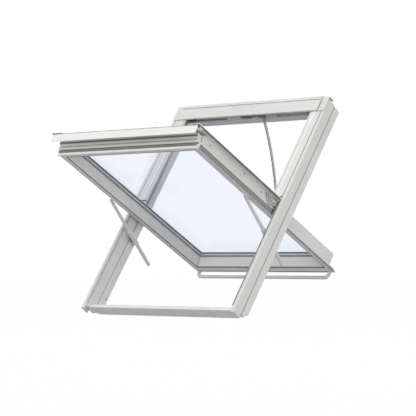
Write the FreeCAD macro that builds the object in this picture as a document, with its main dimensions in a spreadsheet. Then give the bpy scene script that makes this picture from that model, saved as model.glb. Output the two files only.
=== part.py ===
import FreeCAD, Part
import math
import os
import re
import Sketcher

# Centre pivot window in a pitched roof, sash turned wide open, in millimetres.
# Pieces are drawn on the window's own lines: X across, Y up the slope from the
# middle of the frame, Z out through the roof from the frame's outer plane.

doc = FreeCAD.newDocument("CentrePivotWindow")
sheet = doc.addObject("Spreadsheet::Sheet", "Sheet")

DRIVING = {
    # Whole window
    "roof_pitch": 56,
    "open_angle": 86,
    "pivot_depth": 10,
    "frame_width": 1140,
    "lower_reach": 699,
    "upper_reach": 673,
    "frame_depth": 106,
    "sheet_gauge": 2,
    "seat_gap": 0.3,
    # Frame section
    "foot_setback": 21,
    "head_setback": 5,
    "cladding_wall": 3,
    "cladding_side": 54,
    "lip_width": 19,
    "lip_turn": 12,
    "shadow_groove": 8,
    "shadow_depth": 6,
    "shadow_step": 1,
    "wall_width": 36,
    "stile_width": 48,
    "rebate_depth": 67,
    "seal_groove": 5,
    "seal_inset": 3,
    "toe_cut": 21,
    "toe_rise": 18,
    "toe_lean": 5,
    "bush_diameter": 8,
    "bush_depth": 6,
    "bush_rise": 100,
    "bush_inset": 10,
    # Frame rails
    "sill_recess": 25,
    "sill_width": 23,
    "sill_bevel": 5,
    "sill_setback": 6,
    "sill_strip": 11,
    "drip_edge": 3,
    "head_width": 40,
    "head_recess": 17,
    "head_hollow": 22,
    "head_block": 15,
    # Hood over the head
    "hood_height": 12,
    "hood_cover": 32,
    "hood_bead_place": 2,
    "hood_bead_width": 5,
    "hood_bead_depth": 5,
    "hood_overhang": 17,
    "hood_lip": 10,
    "hood_back": 42,
    "hood_end_gap": 46,
    "hood_end": 4,
    "cap_height": 6,
    "cap_inset": 2,
    # Covers beside and below the sash
    "cover_play": 3,
    "cover_width": 75,
    "cover_lip": 4,
    "cover_tuck": 4,
    "cover_leg_inset": 4,
    "cover_leg_end": 20,
    "upper_cover_start": 30,
    "lower_cover_start": 5,
    "lower_cover_overhang": 42,
    "bottom_cover_inset": 8,
    "bottom_cover_setback": 6,
    "bottom_cover_overlap": 10,
    "bottom_cover_lip": 50,
    # Sash section
    "sash_gap": 6,
    "sash_top": 14,
    "sash_setback": 14,
    "sash_stile_face": 38,
    "reveal_flare": 22,
    "glass_seat": 40,
    "rebate_wall": 44,
    "face_groove": 3,
    "face_groove_depth": 5,
    "outer_groove_inset": 8,
    "head_clearance": 83,
    "head_reveal": 24,
    "head_wall": 8,
    "joint_groove": 4,
    "flange_reach": 60,
    "flange_thickness": 12,
    "flange_corner": 19,
    # Foot of the sash, with its sloping face
    "foot_play": 5,
    "foot_rise": 14,
    "foot_wall": 20,
    "nose_depth": 24,
    "nose_reach": 46,
    "line_place": 53,
    "line_width": 4,
    "line_depth": 5,
    "line_reach": 34,
    "band_reach": 28,
    "band_top": 66,
    "band_width": 10,
    "band_floor": 14,
    "toe_reach": 26,
    "toe_slope": 9,
    "shoulder_reach": 6,
    # Glazing
    "gasket_thickness": 4,
    "gasket_lip": 2,
    "pane_thickness": 4,
    "pane_space": 12,
    "pane_margin": 14,
    "spacer_width": 7,
    "spacer_inset": 5,
    "bead_cover": 16,
    # Seals
    "rib_height": 3,
    "foot_rib_height": 6,
    "side_seal_end": 12,
    # Hinges
    "pin_diameter": 10,
    "pin_play": 0.3,
    "boss_diameter": 15,
    "hinge_plate": 4,
    "hinge_top": 15,
    "hinge_bottom": 60,
    "hinge_reach": 112,
    "hinge_taper": 40,
    "hinge_tail": 18,
    "hinge_corner": 14,
    "frame_hinge_low": 60,
    "frame_hinge_high": 136,
    "slot_low": 69,
    "slot_high": 118,
    "slot_depth": 35,
    "slot_width": 5,
    "track_centre_fall": 25,
    "track_centre_out": 20,
    "track_radius": 57,
    "track_spacing": 13,
    "track_width": 5,
    "track_cut": 2,
    # Operator in the head
    "housing_left": 200,
    "housing_right": 170,
    "housing_outer": 36,
    "housing_inner": 66,
    "housing_edge": 4,
    "bay_depth": 9,
    "bay_inset": 111,
    "bay_width": 82,
    "chain_bay_half": 14,
    "left_plate_width": 103,
    "middle_plate_width": 48,
    "middle_plate_gap": 11,
    "right_plate_width": 69,
    "plate_stand": 2,
    "latch_width": 52,
    "latch_inset": 8,
    "latch_height": 28,
    "latch_stand": 9,
    "latch_hook": 6,
    # Chain
    "chain_place": 73,
    "chain_width": 12,
    "chain_depth": 9,
    "chain_sag": 57,
    "hook_stand": 21,
    "hook_depth": 16,
    "hook_base_half": 16,
    "hook_cheek": 4,
    "hook_cheek_gap": 7,
    "hook_pin_diameter": 6,
    # Control bar
    "bar_stand": 48,
    "bar_drop": 41,
    "bar_inset": 26,
    "bar_diameter": 20,
    "bar_bend": 24,
    "bar_foot_half": 16,
    "bar_foot_rise": 10,
    "bar_foot_fall": 15,
    "bar_foot_gauge": 3,
    # Dampers
    "bracket_gauge": 5,
    "bracket_half": 24,
    "bracket_neck": 12,
    "bracket_low": 102,
    "bracket_shoulder": 72,
    "bracket_top": 46,
    "damper_play": 1,
    "trunnion_below": 190,
    "trunnion_depth": 60,
    "trunnion_diameter": 10,
    "trunnion_bite": 3,
    "stud_below": 219,
    "stud_stand": 16,
    "stud_base_half": 12,
    "stud_base_length": 17,
    "stud_base_gauge": 4,
    "stud_diameter": 7,
    "ball_diameter": 12,
    "rod_diameter": 18,
    "rod_play": 0.3,
    "cup_diameter": 15,
    "cup_length": 16,
    "barrel_diameter": 20,
    "barrel_reach": 193,
    "barrel_end": 6,
    "collar_diameter": 28,
    "collar_half": 35,
}

DERIVED = {
    "half_width": "=frame_width / 2",
    "lip_edge": "=half_width - lip_width",
    "wall_face": "=half_width - wall_width",
    "stile_face": "=half_width - stile_width",
    "core_face": "=half_width - cladding_wall",
    "core_low": "=lower_reach - foot_setback",
    "core_high": "=upper_reach - head_setback",
    "head_edge": "=core_high - head_width",
    "head_back": "=head_edge + head_recess",
    "sill_top": "=core_low - sill_width",
    "sill_back": "=frame_depth - sill_setback",
    "seal_groove_top": "=rebate_depth - seal_groove",
    "groove_end": "=cladding_side + shadow_groove",
    "hood_low": "=head_edge - hood_cover",
    "hood_high": "=upper_reach + hood_overhang",
    "hood_half": "=half_width - hood_end_gap",
    "hood_under": "=hood_height - sheet_gauge",
    "bead_low": "=core_high + hood_bead_place - hood_bead_width / 2",
    "bead_high": "=bead_low + hood_bead_width",
    "bead_floor": "=hood_height - hood_bead_depth",
    "block_low": "=head_edge + head_hollow",
    "cap_reach": "=half_width - cap_inset",
    "cover_outer": "=lip_edge - cover_play",
    "cover_inner": "=cover_outer - cover_width",
    "upper_cover_high": "=hood_low + cover_tuck",
    "lower_cover_low": "=lower_reach + lower_cover_overhang",
    "bottom_cover_half": "=cover_outer - bottom_cover_inset",
    "bottom_cover_front": "=lower_cover_low - bottom_cover_setback",
    "sash_half": "=stile_face - sash_gap",
    "sash_face": "=frame_depth - sash_setback",
    "sash_inner": "=sash_half - sash_stile_face",
    "sash_head": "=head_edge - head_clearance",
    "sash_foot": "=sill_top - foot_play",
    "foot_arris": "=sash_foot - foot_rise",
    "band_bottom": "=band_top + band_width",
    "bottom_cover_back": "=sash_foot - bottom_cover_overlap",
    "reveal_edge": "=sash_inner - reveal_flare",
    "reveal_foot": "=foot_arris - reveal_flare",
    "reveal_head": "=sash_head - head_reveal",
    "glass_wall": "=sash_half - rebate_wall",
    "pane_half": "=reveal_edge + pane_margin",
    "pane_low": "=reveal_foot + pane_margin",
    "pane_high": "=reveal_head + pane_margin",
    "inner_pane_at": "=glass_seat - gasket_thickness",
    "outer_pane_at": "=inner_pane_at - pane_thickness - pane_space",
    "bead_top": "=sash_top - sheet_gauge",
    "hook_rise": "=sash_head + hook_stand",
    "bar_rise": "=sash_head + bar_stand",
    "bar_half": "=sash_half - bar_inset",
    "bar_level": "=sash_face + bar_drop",
    "bar_foot_level": "=sash_face + bar_foot_gauge",
    "damper_place": "=stile_face - bracket_gauge - damper_play - collar_diameter / 2",
    "origin_depth": "=(sill_recess + sill_back) / 2",
    "sash_angle": "=roof_pitch - open_angle",
    "frame_base_y": "=cos(roof_pitch) * core_low - sin(roof_pitch) * origin_depth",
    "frame_base_z": "=sin(roof_pitch) * core_low + cos(roof_pitch) * origin_depth",
    "sash_base_y": "=frame_base_y + pivot_depth * (sin(roof_pitch) - sin(sash_angle))",
    "sash_base_z": "=frame_base_z - pivot_depth * (cos(roof_pitch) - cos(sash_angle))",
    # Places on the turned sash, on the frame's lines
    "stud_arm": "=pivot_depth - sash_face - stud_stand",
    "ball_rise": "=stud_arm * sin(open_angle) - stud_below * cos(open_angle)",
    "ball_out": "=stud_arm * cos(open_angle) + stud_below * sin(open_angle) - pivot_depth",
    "damper_run": "=ball_rise + trunnion_below",
    "damper_climb": "=ball_out + trunnion_depth",
    "damper_length": "=sqrt(damper_run * damper_run + damper_climb * damper_climb)",
    "damper_turn": "=roof_pitch + atan2(damper_climb; damper_run) / 1 deg - 90",
    "damper_base_y": "=frame_base_y - cos(roof_pitch) * trunnion_below + sin(roof_pitch) * trunnion_depth",
    "damper_base_z": "=frame_base_z - sin(roof_pitch) * trunnion_below - cos(roof_pitch) * trunnion_depth",
    "hook_arm": "=pivot_depth - hook_depth",
    "chain_end_rise": "=hook_rise * cos(open_angle) + hook_arm * sin(open_angle)",
    "chain_end_out": "=hook_arm * cos(open_angle) - hook_rise * sin(open_angle) - pivot_depth",
    "chain_start_out": "=0 - (housing_outer + housing_inner) / 2 - housing_edge",
    "chain_run": "=head_edge - chain_end_rise",
    "chain_climb": "=chain_start_out - chain_end_out",
    "chain_chord": "=sqrt(chain_run * chain_run + chain_climb * chain_climb)",
    "chain_radius": "=chain_chord * chain_chord / (8 * chain_sag) + chain_sag / 2",
    "chain_offset": "=(chain_radius - chain_sag) / chain_chord",
    "chain_centre_rise": "=(head_edge + chain_end_rise) / 2 - chain_climb * chain_offset",
    "chain_centre_out": "=(chain_start_out + chain_end_out) / 2 + chain_run * chain_offset",
}

for row, (name, value) in enumerate({**DRIVING, **DERIVED}.items(), start=1):
    sheet.set(f"A{row}", name)
    sheet.set(f"B{row}", str(value))
    sheet.setAlias(f"B{row}", name)
doc.recompute()

PLANES = {"XY": "XY_Plane", "XZ": "XZ_Plane", "YZ": "YZ_Plane"}
TURNS = {"frame": "roof_pitch", "sash": "sash_angle", "damper": "damper_turn"}
LEFT = "-"
RIGHT = ""
SIDES = {"left": LEFT, "right": RIGHT}
PAD = "PartDesign::Pad"
POCKET = "PartDesign::Pocket"
nodes = []


# Short calls for sketches bound to the sheet and for the features made from them


def bound(text):
    """Return the expression with every dimension read from the sheet."""
    return re.sub(r"[a-z]+(?:_[a-z]+)+", lambda found: "Sheet." + found.group(), str(text))


def minus(text):
    """Return the negative of an expression."""
    return f"0 - ({text})"


def mirrored(sign, points):
    """Return an outline drawn on X for the left or the right of the window."""
    return [(f"{sign}({across})", up) for across, up in points]


def side_run(sign, inner, outer):
    """Return a run in X, low end first, for the left or the right of the window."""
    if sign == LEFT:
        return minus(outer), minus(inner)
    return inner, outer


def rectangle(x_low, x_high, y_low, y_high):
    """Return the corners of a rectangle."""
    return [(x_low, y_low), (x_high, y_low), (x_high, y_high), (x_low, y_high)]


def origin_plane(body, plane):
    """Find one of a body's own origin planes by its role."""
    return next(item for item in body.Origin.OriginFeatures if item.Role == PLANES[plane])


def sketch_on(body, support):
    """Start a sketch flat on a plane of the body or square to the start of a path."""
    sketch = body.newObject("Sketcher::SketchObject", "Section")
    if support in PLANES:
        sketch.AttachmentSupport = [(origin_plane(body, support), "")]
        sketch.MapMode = "FlatFace"
    else:
        sketch.AttachmentSupport = [(support, "Edge1")]
        sketch.MapMode = "NormalToEdge"
    return sketch


def new_sketch(body, plane, low, high):
    """Start a sketch at the end from which a run square to the plane goes."""
    sketch = sketch_on(body, plane)
    start = minus(high) if plane == "XZ" else low
    sketch.setExpression("AttachmentOffset.Base.z", bound(start))
    return sketch


def tie(sketch, kind, edge, end, text):
    """Tie one distance of an end or centre of an edge from the sketch's origin."""
    here = sketch.getPoint(edge, end)
    value = here.x if kind == "DistanceX" else here.y
    index = sketch.addConstraint(Sketcher.Constraint(kind, -1, 1, edge, end, value))
    sketch.setExpression(f"Constraints[{index}]", bound(text))


def fix_point(sketch, edge, end, across, up):
    """Tie an end or centre of an edge to its place from the sketch's origin."""
    tie(sketch, "DistanceX", edge, end, across)
    tie(sketch, "DistanceY", edge, end, up)


def join_ends(sketch, first, count, closed):
    """Tie the end of each edge of a row to the start of the next."""
    for k in range(count if closed else count - 1):
        after = first + (k + 1) % count
        sketch.addConstraint(Sketcher.Constraint("Coincident", first + k, 2, after, 1))


def draw_outline(sketch, points):
    """Draw a closed outline of straight edges through bound points."""
    count = len(points)
    first = sketch.GeometryCount
    ring = [FreeCAD.Vector(math.cos(math.tau * k / count), math.sin(math.tau * k / count), 0)
            for k in range(count)]
    for k in range(count):
        sketch.addGeometry(Part.LineSegment(ring[k], ring[(k + 1) % count]), False)
    join_ends(sketch, first, count, True)
    for k, (across, up) in enumerate(points):
        fix_point(sketch, first + k, 1, across, up)


def draw_circle(sketch, across, up, diameter):
    """Draw a circle with a bound centre and diameter."""
    unit = Part.Circle(FreeCAD.Vector(), FreeCAD.Vector(0, 0, 1), 1)
    edge = sketch.addGeometry(unit, False)
    fix_point(sketch, edge, 3, across, up)
    index = sketch.addConstraint(Sketcher.Constraint("Diameter", edge, 2 * unit.Radius))
    sketch.setExpression(f"Constraints[{index}]", bound(diameter))


def extrude(body, sketch, low, high, kind=PAD):
    """Run a section from low to high, as added or as removed material."""
    feature = body.newObject(kind, kind.split("::")[1])
    feature.Profile = sketch
    feature.setExpression("Length", bound(f"({high}) - ({low})"))
    feature.Reversed = kind == POCKET
    return feature


def prism(body, plane, points, low, high, kind=PAD):
    """Add or remove a straight run of an outline."""
    sketch = new_sketch(body, plane, low, high)
    draw_outline(sketch, points)
    return extrude(body, sketch, low, high, kind)


def rounds(body, plane, across, up, diameters, low, high, kind=PAD):
    """Add or remove a round bar, or a ring where two diameters are given."""
    sketch = new_sketch(body, plane, low, high)
    for diameter in diameters:
        draw_circle(sketch, across, up, diameter)
    return extrude(body, sketch, low, high, kind)


def flat_ring(body, outer, inner, low, high):
    """Add a flat ring between two rectangles."""
    sketch = new_sketch(body, "XY", low, high)
    draw_outline(sketch, rectangle(*outer))
    draw_outline(sketch, rectangle(*inner))
    return extrude(body, sketch, low, high)


def sweep(body, section, path):
    """Run a section along every edge of a path."""
    pipe = body.newObject("PartDesign::AdditivePipe", "Sweep")
    pipe.Profile = section
    pipe.Spine = (path, [f"Edge{k + 1}" for k in range(path.GeometryCount)])
    return pipe


def new_body(name):
    """Start a piece."""
    body = doc.addObject("PartDesign::Body", name)
    body.Label = name
    return body


def place(item, group):
    """Set a piece at its place and slope, and keep it as a node."""
    item.Placement.Rotation = FreeCAD.Rotation(FreeCAD.Vector(1, 0, 0), 1)
    item.setExpression("Placement.Rotation.Angle", bound(TURNS[group]))
    item.setExpression("Placement.Base.y", bound(f"{group}_base_y"))
    item.setExpression("Placement.Base.z", bound(f"{group}_base_z"))
    nodes.append(item)


def join_apart(name, bodies, group):
    """Keep like pieces that do not touch as one node."""
    whole = doc.addObject("Part::Compound", name)
    whole.Label = name
    whole.Links = bodies
    place(whole, group)


# Frame: stiles with their rebates, shadow groove and seal groove, and the rails between them


def frame_stile(name, sign):
    """Make a full-length stile, cut back at the inner corner of its foot."""
    stile = new_body(name)
    lip_back = "lip_edge + cladding_wall"
    lower_side = "half_width - shadow_step"
    section = [
        ("core_face", "-cladding_wall"), (lip_back, "-cladding_wall"), (lip_back, "-lip_turn"),
        ("wall_face", "-lip_turn"), ("wall_face", "-seal_groove_top"),
        ("wall_face + seal_inset", "-seal_groove_top"), ("wall_face + seal_inset", "-rebate_depth"),
        ("stile_face", "-rebate_depth"), ("stile_face", "-frame_depth"), (lower_side, "-frame_depth"),
        (lower_side, "-groove_end"), ("half_width - shadow_depth", "-groove_end"),
        ("half_width - shadow_depth", "-cladding_side"), ("core_face", "-cladding_side"),
    ]
    prism(stile, "XZ", mirrored(sign, section), "-core_low", "core_high")
    past_foot = "0 - core_low - 1"
    past_back = "0 - frame_depth - 1"
    toe = [(past_foot, "toe_cut - frame_depth"), (past_foot, past_back),
           ("toe_rise + toe_lean - core_low", past_back), ("toe_rise - core_low", "toe_cut - frame_depth")]
    prism(stile, "YZ", toe, *side_run(sign, "stile_face - 1", "half_width + 1"), POCKET)
    rounds(stile, "YZ", "bush_rise - core_low", "bush_inset - frame_depth", ["bush_diameter"],
           *side_run(sign, "stile_face", "stile_face + bush_depth"), POCKET)
    place(stile, "frame")


def side_cladding(name, sign):
    """Make the sheet cover of a stile: outer side, top lip and its turned edge."""
    cladding = new_body(name)
    section = [
        ("half_width", "-cladding_side"), ("half_width", "0"), ("lip_edge", "0"),
        ("lip_edge", "-lip_turn"), ("lip_edge + cladding_wall", "-lip_turn"),
        ("lip_edge + cladding_wall", "-cladding_wall"), ("core_face", "-cladding_wall"),
        ("core_face", "-cladding_side"),
    ]
    prism(cladding, "XZ", mirrored(sign, section), "-lower_reach", "upper_reach")
    place(cladding, "frame")


def frame_rails():
    """Make the rails between the stiles, each stepped to fit the stiles' rebate."""
    sill = new_body("frame_bottom_rail")
    upper = [("-core_low", "-rebate_depth"), ("-sill_top", "-rebate_depth"),
             ("-sill_top", "0 - sill_recess - sill_bevel"), ("0 - sill_top - sill_bevel", "-sill_recess"),
             ("-core_low", "-sill_recess")]
    prism(sill, "YZ", upper, "-wall_face", "wall_face")
    lower = [("-core_low", "drip_edge - sill_back"), ("drip_edge - core_low", "drip_edge - sill_back"),
             ("drip_edge - core_low", "-sill_back"), ("-sill_top", "-sill_back"),
             ("-sill_top", "-rebate_depth"), ("-core_low", "-rebate_depth")]
    prism(sill, "YZ", lower, "-stile_face", "stile_face")
    place(sill, "frame")

    strip = new_body("bottom_frame_cover")
    band = rectangle("-core_low", "sill_strip - core_low", "-sill_recess", "sheet_gauge - sill_recess")
    prism(strip, "YZ", band, "-wall_face", "wall_face")
    place(strip, "frame")

    head = new_body("frame_top_rail")
    prism(head, "YZ", rectangle("head_edge", "core_high", "-frame_depth", "-rebate_depth"),
          "-stile_face", "stile_face")
    recessed = [("head_back", "-rebate_depth"), ("core_high", "-rebate_depth"), ("core_high", "0"),
                ("block_low", "0"), ("block_low", "-head_hollow"), ("head_back", "-head_hollow")]
    prism(head, "YZ", recessed, "-wall_face", "wall_face")
    block = rectangle("block_low", "block_low + head_block", "-seat_gap", "hood_under")
    prism(head, "YZ", block, "hood_end - hood_half", "hood_half - hood_end")
    place(head, "frame")


def frame_seal():
    """Make the two seal strips that lie in the stiles' grooves."""
    strips = []
    band = rectangle("wall_face + 1", "wall_face + seal_inset", "seat_gap - rebate_depth",
                     "0 - seal_groove_top - seat_gap")
    for sign in SIDES.values():
        strip = new_body("seal_strip")
        prism(strip, "XZ", mirrored(sign, band), "seat_gap - sill_top", "head_back - seat_gap")
        strips.append(strip)
    join_apart("frame_seal", strips, "frame")


# Hood over the head, folded from sheet with a rolled bead, with a cap at each end


def top_hood():
    """Make the folded hood."""
    hood = new_body("top_hood")
    front = "hood_height - hood_lip"
    back_end = "hood_height - hood_back"
    prism(hood, "YZ", [
        ("hood_low", front), ("hood_low", "hood_height"), ("bead_low", "hood_height"),
        ("bead_low", "bead_floor"), ("bead_high", "bead_floor"), ("bead_high", "hood_height"),
        ("hood_high", "hood_height"), ("hood_high", back_end), ("hood_high - sheet_gauge", back_end),
        ("hood_high - sheet_gauge", "hood_under"), ("bead_high + sheet_gauge", "hood_under"),
        ("bead_high + sheet_gauge", "bead_floor - sheet_gauge"),
        ("bead_low - sheet_gauge", "bead_floor - sheet_gauge"), ("bead_low - sheet_gauge", "hood_under"),
        ("hood_low + sheet_gauge", "hood_under"), ("hood_low + sheet_gauge", front)],
        "-hood_half", "hood_half")
    place(hood, "frame")


def hood_cap(name, sign):
    """Make the cap that closes one end of the hood on the stile's cladding."""
    cap = new_body(name)
    under = "cap_height - sheet_gauge"
    back_end = "cap_height - hood_back"
    prism(cap, "YZ", [
        ("hood_low", "0"), ("hood_low", "cap_height"), ("hood_high", "cap_height"), ("hood_high", back_end),
        ("hood_high - sheet_gauge", back_end), ("hood_high - sheet_gauge", under),
        ("hood_low + sheet_gauge", under), ("hood_low + sheet_gauge", "0")],
        *side_run(sign, "hood_half + seat_gap", "cap_reach"))
    prism(cap, "YZ", rectangle("hood_low", "hood_high", "0", "cap_height"),
          *side_run(sign, "cap_reach - sheet_gauge", "cap_reach"))
    place(cap, "frame")


# Covers: the upper pair on the frame, the lower pair and the bottom cover on the sash


def upper_cover(name, sign):
    """Make the channel that covers the gap beside the upper half of the sash."""
    cover = new_body(name)
    channel = [
        ("cover_outer", "-lip_turn"), ("cover_outer", "0"), ("cover_inner", "0"),
        ("cover_inner", "-lip_turn"), ("cover_inner + sheet_gauge", "-lip_turn"),
        ("cover_inner + sheet_gauge", "-sheet_gauge"), ("cover_outer - sheet_gauge", "-sheet_gauge"),
        ("cover_outer - sheet_gauge", "-lip_turn"),
    ]
    prism(cover, "XZ", mirrored(sign, channel), "upper_cover_start", "upper_cover_high")
    place(cover, "frame")


def lower_cover(name, sign):
    """Make the flanged plate that turns with the lower half of the sash."""
    cover = new_body(name)
    plate = [
        ("cover_outer", "-cover_lip"), ("cover_outer", "0"), ("cover_inner", "0"),
        ("cover_inner", "-sheet_gauge"), ("cover_outer - sheet_gauge", "-sheet_gauge"),
        ("cover_outer - sheet_gauge", "-cover_lip"),
    ]
    prism(cover, "XZ", mirrored(sign, plate), "-lower_cover_low", "-lower_cover_start")
    for foot in ("cover_inner", "sash_half - cover_leg_inset"):
        leg = rectangle(foot, f"{foot} + sheet_gauge", "-bead_top", "-sheet_gauge")
        prism(cover, "XZ", mirrored(sign, leg), "seat_gap - bottom_cover_back",
              "0 - lower_cover_start - cover_leg_end")
    place(cover, "sash")


def bottom_cover():
    """Make the deep cover in front of the foot of the sash."""
    cover = new_body("sash_bottom_cover")
    under = "0 - 2 * sheet_gauge"
    lip_end = "0 - bottom_cover_lip - sheet_gauge"
    leg = "0 - bottom_cover_back - sheet_gauge"
    lip = "sheet_gauge - bottom_cover_front"
    prism(cover, "YZ", [
        ("-bottom_cover_front", lip_end), ("-bottom_cover_front", "-sheet_gauge"),
        ("-bottom_cover_back", "-sheet_gauge"), ("-bottom_cover_back", "-bead_top"), (leg, "-bead_top"),
        (leg, under), (lip, under), (lip, lip_end)], "-bottom_cover_half", "bottom_cover_half")
    place(cover, "sash")


# Sash: rails across the whole width, stiles coped to them, flared reveal

FOOT_INNER = [
    ("-foot_arris", "-sash_face"), ("-reveal_foot", "-glass_seat"),
    ("foot_wall - sash_foot", "-glass_seat"), ("foot_wall - sash_foot", "-sash_top"),
]
HEAD_INNER = [
    ("sash_head", "-sash_face"), ("reveal_head", "-glass_seat"),
    ("sash_head - head_wall", "-glass_seat"), ("sash_head - head_wall", "-sash_top"),
]


def sash_foot_rail():
    """Make the bottom rail with its nose, sloping grooved face and toe."""
    rail = new_body("sash_bottom_rail")
    line_out = "0 - sash_foot - line_reach"
    line_in = f"{line_out} + line_depth"
    line_end = "0 - line_place - line_width"
    band_in = "0 - sash_foot - band_floor"
    toe = "0 - sash_foot - toe_reach"
    prism(rail, "YZ", FOOT_INNER + [
        ("-sash_foot", "-sash_top"), ("-sash_foot", "-nose_depth"),
        ("0 - sash_foot - nose_reach", "-nose_depth"), (line_out, "-line_place"),
        (line_in, "-line_place"), (line_in, line_end), (line_out, line_end),
        ("0 - sash_foot - band_reach", "-band_top"), (band_in, "-band_top"), (band_in, "-band_bottom"),
        (toe, "-band_bottom"), (toe, "toe_slope - sash_face"),
        ("0 - sash_foot - shoulder_reach", "-sash_face")], "-sash_half", "sash_half")
    place(rail, "sash")


def sash_head_rail():
    """Make the top rail with its flange, cut corners and joint line."""
    rail = new_body("sash_top_rail")
    flange_back = "flange_thickness - sash_face"
    flange_end = "sash_head + flange_reach"
    prism(rail, "YZ", HEAD_INNER + [
        ("sash_head", "-sash_top"), ("sash_head", flange_back),
        (flange_end, flange_back), (flange_end, "-sash_face")], "-sash_half", "sash_half")
    for sign in SIDES.values():
        corner = [("sash_half + 1", f"{flange_end} - flange_corner - 1"), ("sash_half + 1", f"{flange_end} + 1"),
                  ("sash_half - flange_corner - 1", f"{flange_end} + 1")]
        prism(rail, "XY", mirrored(sign, corner), "0 - sash_face - 1", f"{flange_back} + 1", POCKET)
    joint = rectangle("sash_head", "sash_head + joint_groove", "0 - sash_face - 1",
                      "face_groove_depth - sash_face")
    prism(rail, "YZ", joint, "-sash_half", "sash_half", POCKET)
    place(rail, "sash")


def sash_stile(name, sign):
    """Make a stile with its face grooves, rebate and ends cut to the rails' profile."""
    stile = new_body(name)
    groove_floor = "face_groove_depth - sash_face"
    section = [("sash_half", "-sash_top"), ("sash_half", "-sash_face")]
    for edge in ("sash_half - outer_groove_inset", "sash_inner + 2 * face_groove"):
        section += [(edge, "-sash_face"), (edge, groove_floor),
                    (f"{edge} - face_groove", groove_floor), (f"{edge} - face_groove", "-sash_face")]
    section += [("sash_inner", "-sash_face"), ("reveal_edge", "-glass_seat"),
                ("glass_wall", "-glass_seat"), ("glass_wall", "-sash_top")]
    prism(stile, "XZ", mirrored(sign, section), "-foot_arris", "sash_head")
    run = side_run(sign, "reveal_edge - 1", "sash_half + 1")
    prism(stile, "YZ", HEAD_INNER + [("sash_head - head_wall", "1"), ("sash_head + 1", "1"),
                                     ("sash_head + 1", "-sash_face")], *run, POCKET)
    prism(stile, "YZ", FOOT_INNER + [("foot_wall - sash_foot", "1"), ("0 - foot_arris - 1", "1"),
                                     ("0 - foot_arris - 1", "-sash_face")], *run, POCKET)
    place(stile, "sash")


# Glazing: two panes on a gasket with a spacer, held by an outer bead frame


def inset_edges(inset):
    """Return the rectangle that lies inside the panes' edge by an inset."""
    return (f"{inset} - pane_half", f"pane_half - ({inset})", f"{inset} - pane_low", f"pane_high - ({inset})")


def glazing():
    """Make the panes, gasket, spacer and bead frame."""
    for name, depth in (("inner_pane", "inner_pane_at"), ("outer_pane", "outer_pane_at")):
        pane = new_body(name)
        prism(pane, "XY", rectangle(*inset_edges(0)), minus(depth), f"pane_thickness - {depth}")
        place(pane, "sash")

    gasket = new_body("glazing_gasket")
    flat_ring(gasket, inset_edges(0), inset_edges("pane_margin + gasket_lip"),
              "-glass_seat", "-inner_pane_at")
    place(gasket, "sash")

    spacer = new_body("glazing_spacer")
    flat_ring(spacer, inset_edges("spacer_inset"), inset_edges("spacer_inset + spacer_width"),
              "pane_thickness - inner_pane_at", "-outer_pane_at")
    place(spacer, "sash")

    bead = new_body("sash_upper_cladding")
    flat_ring(bead, ("-sash_half", "sash_half", "-sash_foot", "sash_head"), inset_edges("bead_cover"),
              "-sash_top", "-bead_top")
    flat_ring(bead, inset_edges("bead_cover - sheet_gauge"), inset_edges("bead_cover"),
              "pane_thickness - outer_pane_at", "-sash_top")
    place(bead, "sash")


# Ribbed seals round the lower half of the sash


def ribbed(base, out, low, high, count):
    """Return an outline with a row of ribs that stand out from a base line."""
    crest_start = 0.25
    crest_end = 0.7
    span = f"(({high}) - ({low}))"
    points = [(base, low)]
    for k in range(count):
        points.append((out, f"({low}) + {span} * {(k + crest_start) / count}"))
        points.append((out, f"({low}) + {span} * {(k + crest_end) / count}"))
        if k < count - 1:
            points.append((f"(({base}) + ({out})) / 2", f"({low}) + {span} * {(k + 1) / count}"))
    points.append((base, high))
    return points


def sash_seals():
    """Make the ribbed seals of the foot and the sides."""
    base = "0 - sash_foot - band_floor"
    foot_seal = new_body("sash_foot_seal")
    prism(foot_seal, "YZ", ribbed(base, f"{base} - foot_rib_height", "seat_gap - band_bottom",
                                  "0 - band_top - seat_gap", 2), "-sash_half", "sash_half")
    place(foot_seal, "sash")
    for word, sign in SIDES.items():
        seal = new_body(f"{word}_side_seal")
        ribs = ribbed("sash_half", "sash_half + rib_height", "1 - sash_face", "-band_top", 5)
        prism(seal, "XZ", mirrored(sign, ribs), "-sash_foot", "-side_seal_end")
        place(seal, "sash")


# Pivot hinges: a slotted plate with a boss on the frame, a tracked plate with a pin on the sash


def frame_hinge(name, sign):
    """Make the slotted plate on the stile with the boss that carries the pin."""
    hinge = new_body(name)
    top = "-hinge_top"
    bottom = "-hinge_bottom"
    top_corner = "0 - hinge_top - hinge_corner"
    bottom_corner = "hinge_corner - hinge_bottom"
    low_corner = "hinge_corner - frame_hinge_low"
    high_corner = "frame_hinge_high - hinge_corner"
    plate = [("-frame_hinge_low", top_corner), (low_corner, top), (high_corner, top),
             ("frame_hinge_high", top_corner), ("frame_hinge_high", bottom_corner), (high_corner, bottom),
             (low_corner, bottom), ("-frame_hinge_low", bottom_corner)]
    prism(hinge, "YZ", plate, *side_run(sign, "wall_face - hinge_plate", "wall_face"))
    rounds(hinge, "YZ", "0", "-pivot_depth", ["boss_diameter"],
           *side_run(sign, "sash_half + hinge_plate + 1", "wall_face"))
    slot = rectangle("slot_low", "slot_high", "0 - slot_depth - slot_width", "-slot_depth")
    prism(hinge, "YZ", slot, *side_run(sign, "wall_face - hinge_plate - 1", "wall_face - 1"), POCKET)
    rounds(hinge, "YZ", "0", "-pivot_depth", ["pin_diameter + 2 * pin_play"],
           *side_run(sign, "sash_half + hinge_plate", "wall_face - 1"), POCKET)
    place(hinge, "frame")


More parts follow.
